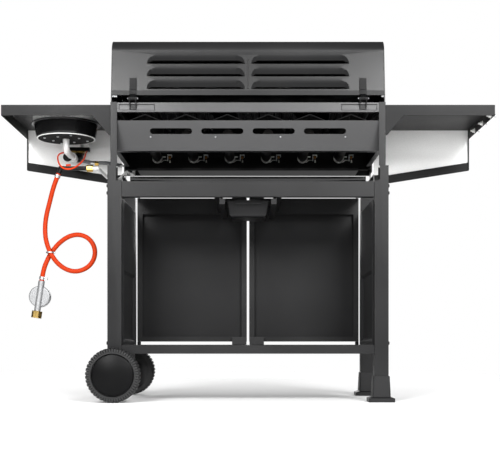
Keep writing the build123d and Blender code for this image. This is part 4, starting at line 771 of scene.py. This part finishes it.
# the thermometer's face: a white plate with a ring of ticks and a red needle
dial_turn = Vector((0, -0.9901, 0.1403)).to_track_quat("Z", "Y").to_matrix().to_4x4()
dial_place = Matrix.Translation((0, -0.21507, 0.9335)) @ dial_turn
dial_plate = bmesh.new()
bmesh.ops.create_cone(
    dial_plate, cap_ends=True, segments=64, radius1=0.0198, radius2=0.0198, depth=0.0006,
    matrix=dial_place @ Matrix.Translation((0, 0, 0.0003)),
)
made(dial_plate, "dial_plate", "lid", printed_white, "plated_steel", 0)
dial_ticks = bmesh.new()
for i in range(25):
    width = 0.0011 if i % 4 == 0 else 0.0005
    length = 0.0040 if i % 4 == 0 else 0.0024
    turn = Matrix.Rotation(radians(132 - 11 * i), 4, "Z")
    place = dial_place @ turn @ Matrix.Translation((0, 0.0182 - length / 2, 0.0007))
    bmesh.ops.create_cube(dial_ticks, size=1, matrix=place @ Matrix.Diagonal((width, length, 0.0002, 1)))
bmesh.ops.create_cone(
    dial_ticks, cap_ends=True, segments=24, radius1=0.0026, radius2=0.0022, depth=0.0012,
    matrix=dial_place @ Matrix.Translation((0, 0, 0.0010)),
)
made(dial_ticks, "dial_ticks", "lid", cap_black, "black_plastic", 0)
needle = bmesh.new()
needle_place = dial_place @ Matrix.Rotation(radians(118), 4, "Z") @ Matrix.Translation((0, 0.0050, 0.0012))
bmesh.ops.create_cube(needle, size=1, matrix=needle_place @ Matrix.Diagonal((0.0011, 0.0175, 0.0003, 1)))
made(needle, "dial_needle", "lid", hose_rubber, "black_plastic", 0)


# ------------------------------------------------------------------ side shelves
# Folded pans bolted to the firebox ends, coated like the cart. Under the front edge of
# each hangs a pale steel fascia, its hems and returns black. The steel is painted near
# white and matt: partly its own pale colour, partly painted light it would catch.
shelf_coat = finished(
    "shelf_coat", (0.0045, 0.0045, 0.0048), 0.40, bump=0.22, depth=0.0003, Specular_IOR_Level=0.16,
    values={"Grain scale": 1500.0, "Speckle": 0.35, "Patch scale": 5.0, "Patches": 0.14, "Edge wear and highlight": 0.0},
)
eased("shelf_right", "right_shelf_pan", shelf_coat)
eased("shelf_left", "left_shelf_pan", shelf_coat)
# near-white matt steel: the fascia's own pale colour raised further as painted light for the shade under the
# shelf
fascia_steel = finished(
    "fascia_steel", (0.88, 0.88, 0.87), 0.45, 0.05, bump=0.12, depth=0.0002, wear_and_highlight=(0.9, 0.9, 0.9),
    values={"Grain scale": 420.0, "Speckle": 0.1, "Patches": 0.06},
)
for node, name in (("fascia_right", "right_fascia"), ("fascia_left", "left_fascia")):
    fascia = eased(node, name, fascia_steel, 0.0004)
    fascia.data.materials.append(cap_black)
    for face in fascia.data.polygons:
        if face.center.y > -0.1215 or abs(face.normal.x) > 0.5:
            face.material_index = 1
dress(cad["tool_hooks"], fitting_zinc)
hook_nuts = bmesh.new()
for y in (0.180, 0.075, -0.030):  # one at each hook, inside the shelf's lip
    rod(hook_nuts, (-0.7150, y, 0.8405), (-0.7138, y, 0.8405), 0.0085)
    rod(hook_nuts, (-0.7138, y, 0.8405), (-0.7080, y, 0.8405), 0.0064, 0.0060, 6)
    rod(hook_nuts, (-0.7080, y, 0.8405), (-0.7020, y, 0.8405), 0.0028)
made(hook_nuts, "hook_nuts", "cart", bracket_zinc, "plated_steel")


# ------------------------------------------------------------------ side burner
# A pressed and enamelled bowl hung in the right shelf, with a cast head in its middle,
# a cast pan support on its rim and an alloy tube that brings the gas and air.
bowl_enamel = finished(
    "bowl_enamel", (0.006, 0.006, 0.0064), 0.24, bump=0.06, depth=0.0003,
    Specular_IOR_Level=0.3, Coat_Weight=0.25, Coat_Roughness=0.08,
    values={"Grain scale": 300.0, "Speckle": 0.05, "Patches": 0.15, "Edge wear and highlight": 0.1},
)
eased("side_burner_bowl", "burner_bowl", bowl_enamel, 0.0006)

# round the bowl: a brim, a matt underside with screws, ringed by a pale steel ring that is a painted highlight
# on its lower edge, and a zinc liner
bowl_x = 0.558
bowl_y = 0.056
bowl_axis = (bowl_x, bowl_y, 0)
brim = bmesh.new()
brim_outline = [(0.0945, 0.8385), (0.1042, 0.8383), (0.1060, 0.8402), (0.1044, 0.8422), (0.0950, 0.8425)]
turned(brim, bowl_axis, (0, 0, 1), brim_outline, 72)
made(brim, "bowl_brim", "cart", lid_coat, "enamel", 0.0005)
underside = bmesh.new()
rod(underside, (bowl_x, bowl_y, 0.7968), (bowl_x, bowl_y, 0.7961), 0.0846, 0.0843, 72)
made(underside, "bowl_underside", "cart", sooty_steel, "enamel", 0)
# a pale steel ring round the bottom edge of the bowl, a painted highlight where that edge catches the light
rim_highlight = bmesh.new()
rim_highlight_outline = [(0.0848, 0.7960), (0.0868, 0.7958), (0.0882, 0.7966), (0.0885, 0.7982), (0.0868, 0.7980)]
turned(rim_highlight, bowl_axis, (0, 0, 1), rim_highlight_outline, 72)
made(rim_highlight, "bowl_rim_highlight", "cart", fascia_steel, "enamel", 0.0004)
liner = bmesh.new()
liner_outline = [(0.0998, 0.8426), (0.1006, 0.8426), (0.1006, 0.8602), (0.0998, 0.8602)]
turned(liner, bowl_axis, (0, 0, 1), liner_outline, 72)
made(liner, "opening_liner", "cart", bracket_zinc, "plated_steel", 0.0002)
under_screws = []
for i in range(8):
    around = pi / 8 + i * pi / 4
    reach = 0.046 if i % 2 else 0.066
    under_screws.append((bowl_x + reach * cos(around), bowl_y + reach * sin(around), 0.7965))
screwed("bowl_screws", "cart", fitting_zinc, under_screws, (0, 0, -1), 0.0075)
eased("side_burner_head", "burner_head", grate_iron, 0.0008)
eased("pot_support", "pan_support", grate_iron, 0.0012)
bright_alloy = finished(
    "bright_alloy", (0.74, 0.74, 0.73), 0.42, 0.25, bump=0.25, depth=0.0003,
    values={"Grain scale": 900.0, "Speckle": 0.12, "Patches": 0.12},
)
eased("side_burner_venturi", "burner_venturi", bright_alloy, 0.0006)
marked_knob("side_burner_knob", "side_knob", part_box("fascia_right")[0].y)


# ------------------------------------------------------------------ gas pipes and fittings
# Bent alloy and plated tubes between the hose, the manifold and the side tap, joined
# by turned brass fittings.
black_rubber = finished(
    "black_rubber", (0.004, 0.004, 0.0043), 0.42, bump=0.15, depth=0.0002, wear_and_highlight=(0.02, 0.02, 0.02),
    Specular_IOR_Level=0.2,
    values={"Grain scale": 900.0, "Speckle": 0.1, "Patches": 0.15, "Edge wear and highlight": 0.2},
)
grey_sleeve = finished(
    "grey_sleeve", (0.085, 0.087, 0.09), 0.45, bump=0.15, depth=0.0002,
    values={"Grain scale": 900.0, "Speckle": 0.1, "Patches": 0.15, "Edge wear and highlight": 0.0},
)
feed_pipes = eased("gas_pipes", "feed_pipes", bright_alloy, 0)
feed_pipes.data.materials.append(black_rubber)
for face in feed_pipes.data.polygons:
    if face.center.x > 0.482 and face.center.y > 0.1:
        face.material_index = 1
brass_fittings = eased("gas_fittings", "brass_fittings", turned_brass, 0.0006)
brass_fittings.data.materials.append(black_rubber)
for face in brass_fittings.data.polygons:
    if face.center.x > 0.53:
        face.material_index = 1


def tube(name, points, radius, body, material):
    """A round tube along a smooth line through some points, as a mesh."""
    curve = bpy.data.curves.new(name, "CURVE")
    curve.dimensions = "3D"
    curve.bevel_depth = radius
    curve.bevel_resolution = 5
    curve.use_fill_caps = True
    spline = curve.splines.new("NURBS")
    spline.points.add(len(points) - 1)
    for point, place in zip(spline.points, points):
        point.co = (*place, 1)
    spline.order_u = 3
    spline.use_endpoint_u = True
    spline.resolution_u = 10
    piece = bpy.data.objects.new(name, curve)
    bpy.context.scene.collection.objects.link(piece)
    sole(piece)
    bpy.ops.object.convert(target="MESH")
    piece = bpy.context.object
    piece.name = name
    bpy.ops.object.shade_smooth()
    dress(piece, material)
    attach(piece, body)
    return piece


sleeve_route = [
    (0.4085, -0.1045, 0.7435), (0.424, -0.084, 0.7435), (0.446, -0.0605, 0.7435),
    (0.480, -0.0615, 0.7447), (0.507, -0.0640, 0.7460), (0.533, -0.0635, 0.7520),
]
tube("branch_sleeve", sleeve_route, 0.0056, "cart", grey_sleeve)

# the side burner's tap: a black body with a brass gasket under a zinc flange, its spark
# box, and the red lead that loops from the box to the tube of the burner
tap_body = bmesh.new()
bar(tap_body, (0.508, -0.094, 0.7860), (0.572, -0.076, 0.7970))
rod(tap_body, (0.531, -0.082, 0.7665), (0.563, -0.082, 0.7665), 0.0082, 0.0078)
cap_outline = [(0.0, 0), (0.0135, 0), (0.0145, 0.003), (0.0115, 0.006), (0.0, 0.006)]
turned(tap_body, (0.569, -0.030, 0.757), (0, 1, 0), cap_outline, 32)
made(tap_body, "tap_body", "cart", cap_black, "black_plastic", 0.0008)
gasket = bmesh.new()
bar(gasket, (0.523, -0.093, 0.7808), (0.570, -0.077, 0.7860))
made(gasket, "tap_gasket", "cart", turned_brass, "brass", 0.0005)
spark_box = bmesh.new()
rod(spark_box, (0.537, -0.082, 0.8035), (0.572, -0.082, 0.8035), 0.0063, 0.0063)
rod(spark_box, (0.541, -0.082, 0.8035), (0.546, -0.082, 0.8035), 0.0078, 0.0078)
bar(spark_box, (0.508, -0.091, 0.7970), (0.526, -0.079, 0.8205))
rod(spark_box, (0.5405, -0.076, 0.7315), (0.5405, -0.066, 0.7315), 0.0062, 0.0052, 6)
made(spark_box, "spark_box", "cart", bracket_zinc, "plated_steel", 0.0006)
lead_red = finished(
    "lead_red", (0.60, 0.040, 0.004), 0.45, bump=0.05, depth=0.0001, Specular_IOR_Level=0.15,
    values={"Grain scale": 900.0, "Speckle": 0.04, "Patches": 0.08, "Edge wear and highlight": 0.0},
)
lead_route = [
    (0.5660, 0.0300, 0.7600), (0.5745, 0.0450, 0.7570), (0.5800, 0.0750, 0.7430), (0.5730, 0.1150, 0.7240),
    (0.5610, 0.1500, 0.7000), (0.5420, 0.1680, 0.6850), (0.5200, 0.1670, 0.6860), (0.5030, 0.1420, 0.7030),
    (0.4970, 0.0950, 0.7270), (0.5030, 0.0300, 0.7525), (0.5130, -0.0350, 0.7708), (0.5165, -0.0850, 0.7860),
]
lead_diameter = 0.0044
lead_curve = bpy.data.curves.new("spark_lead_line", "CURVE")
lead_curve.dimensions = "3D"
lead_curve.bevel_depth = lead_diameter / 2
lead_curve.bevel_resolution = 4
lead_curve.use_fill_caps = True
lead_spline = lead_curve.splines.new("NURBS")
lead_spline.points.add(len(lead_route) - 1)
for point, place in zip(lead_spline.points, lead_route):
    point.co = (*place, 1)
lead_spline.order_u = 3
lead_spline.use_endpoint_u = True
lead_spline.resolution_u = 12
spark_lead = bpy.data.objects.new("spark_lead", lead_curve)
bpy.context.scene.collection.objects.link(spark_lead)
lead_curve.materials.append(lead_red)
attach(spark_lead, "cart")
lead_sleeve = bmesh.new()
rod(lead_sleeve, (0.553, 0.004, 0.7265), (0.568, 0.004, 0.7255), 0.0032, 0.0030)
made(lead_sleeve, "lead_terminal", "cart", lead_red, "hose_rubber", 0.0005)


# ------------------------------------------------------------------ grease tray and cup
# A shallow coated pan on two angles under the firebox, and a drawn cup with a pull
# that hangs by its rim between two channels under the tray's drain.
eased("drip_rails", "tray_and_cup_rails", powder_coat, 0.0004)
eased("grease_tray", "drip_pan", powder_coat, 0.0004)
eased("grease_cup", "drip_cup", powder_coat, 0.0006)


# ------------------------------------------------------------------ end
bpy.data.objects.remove(screw_head)
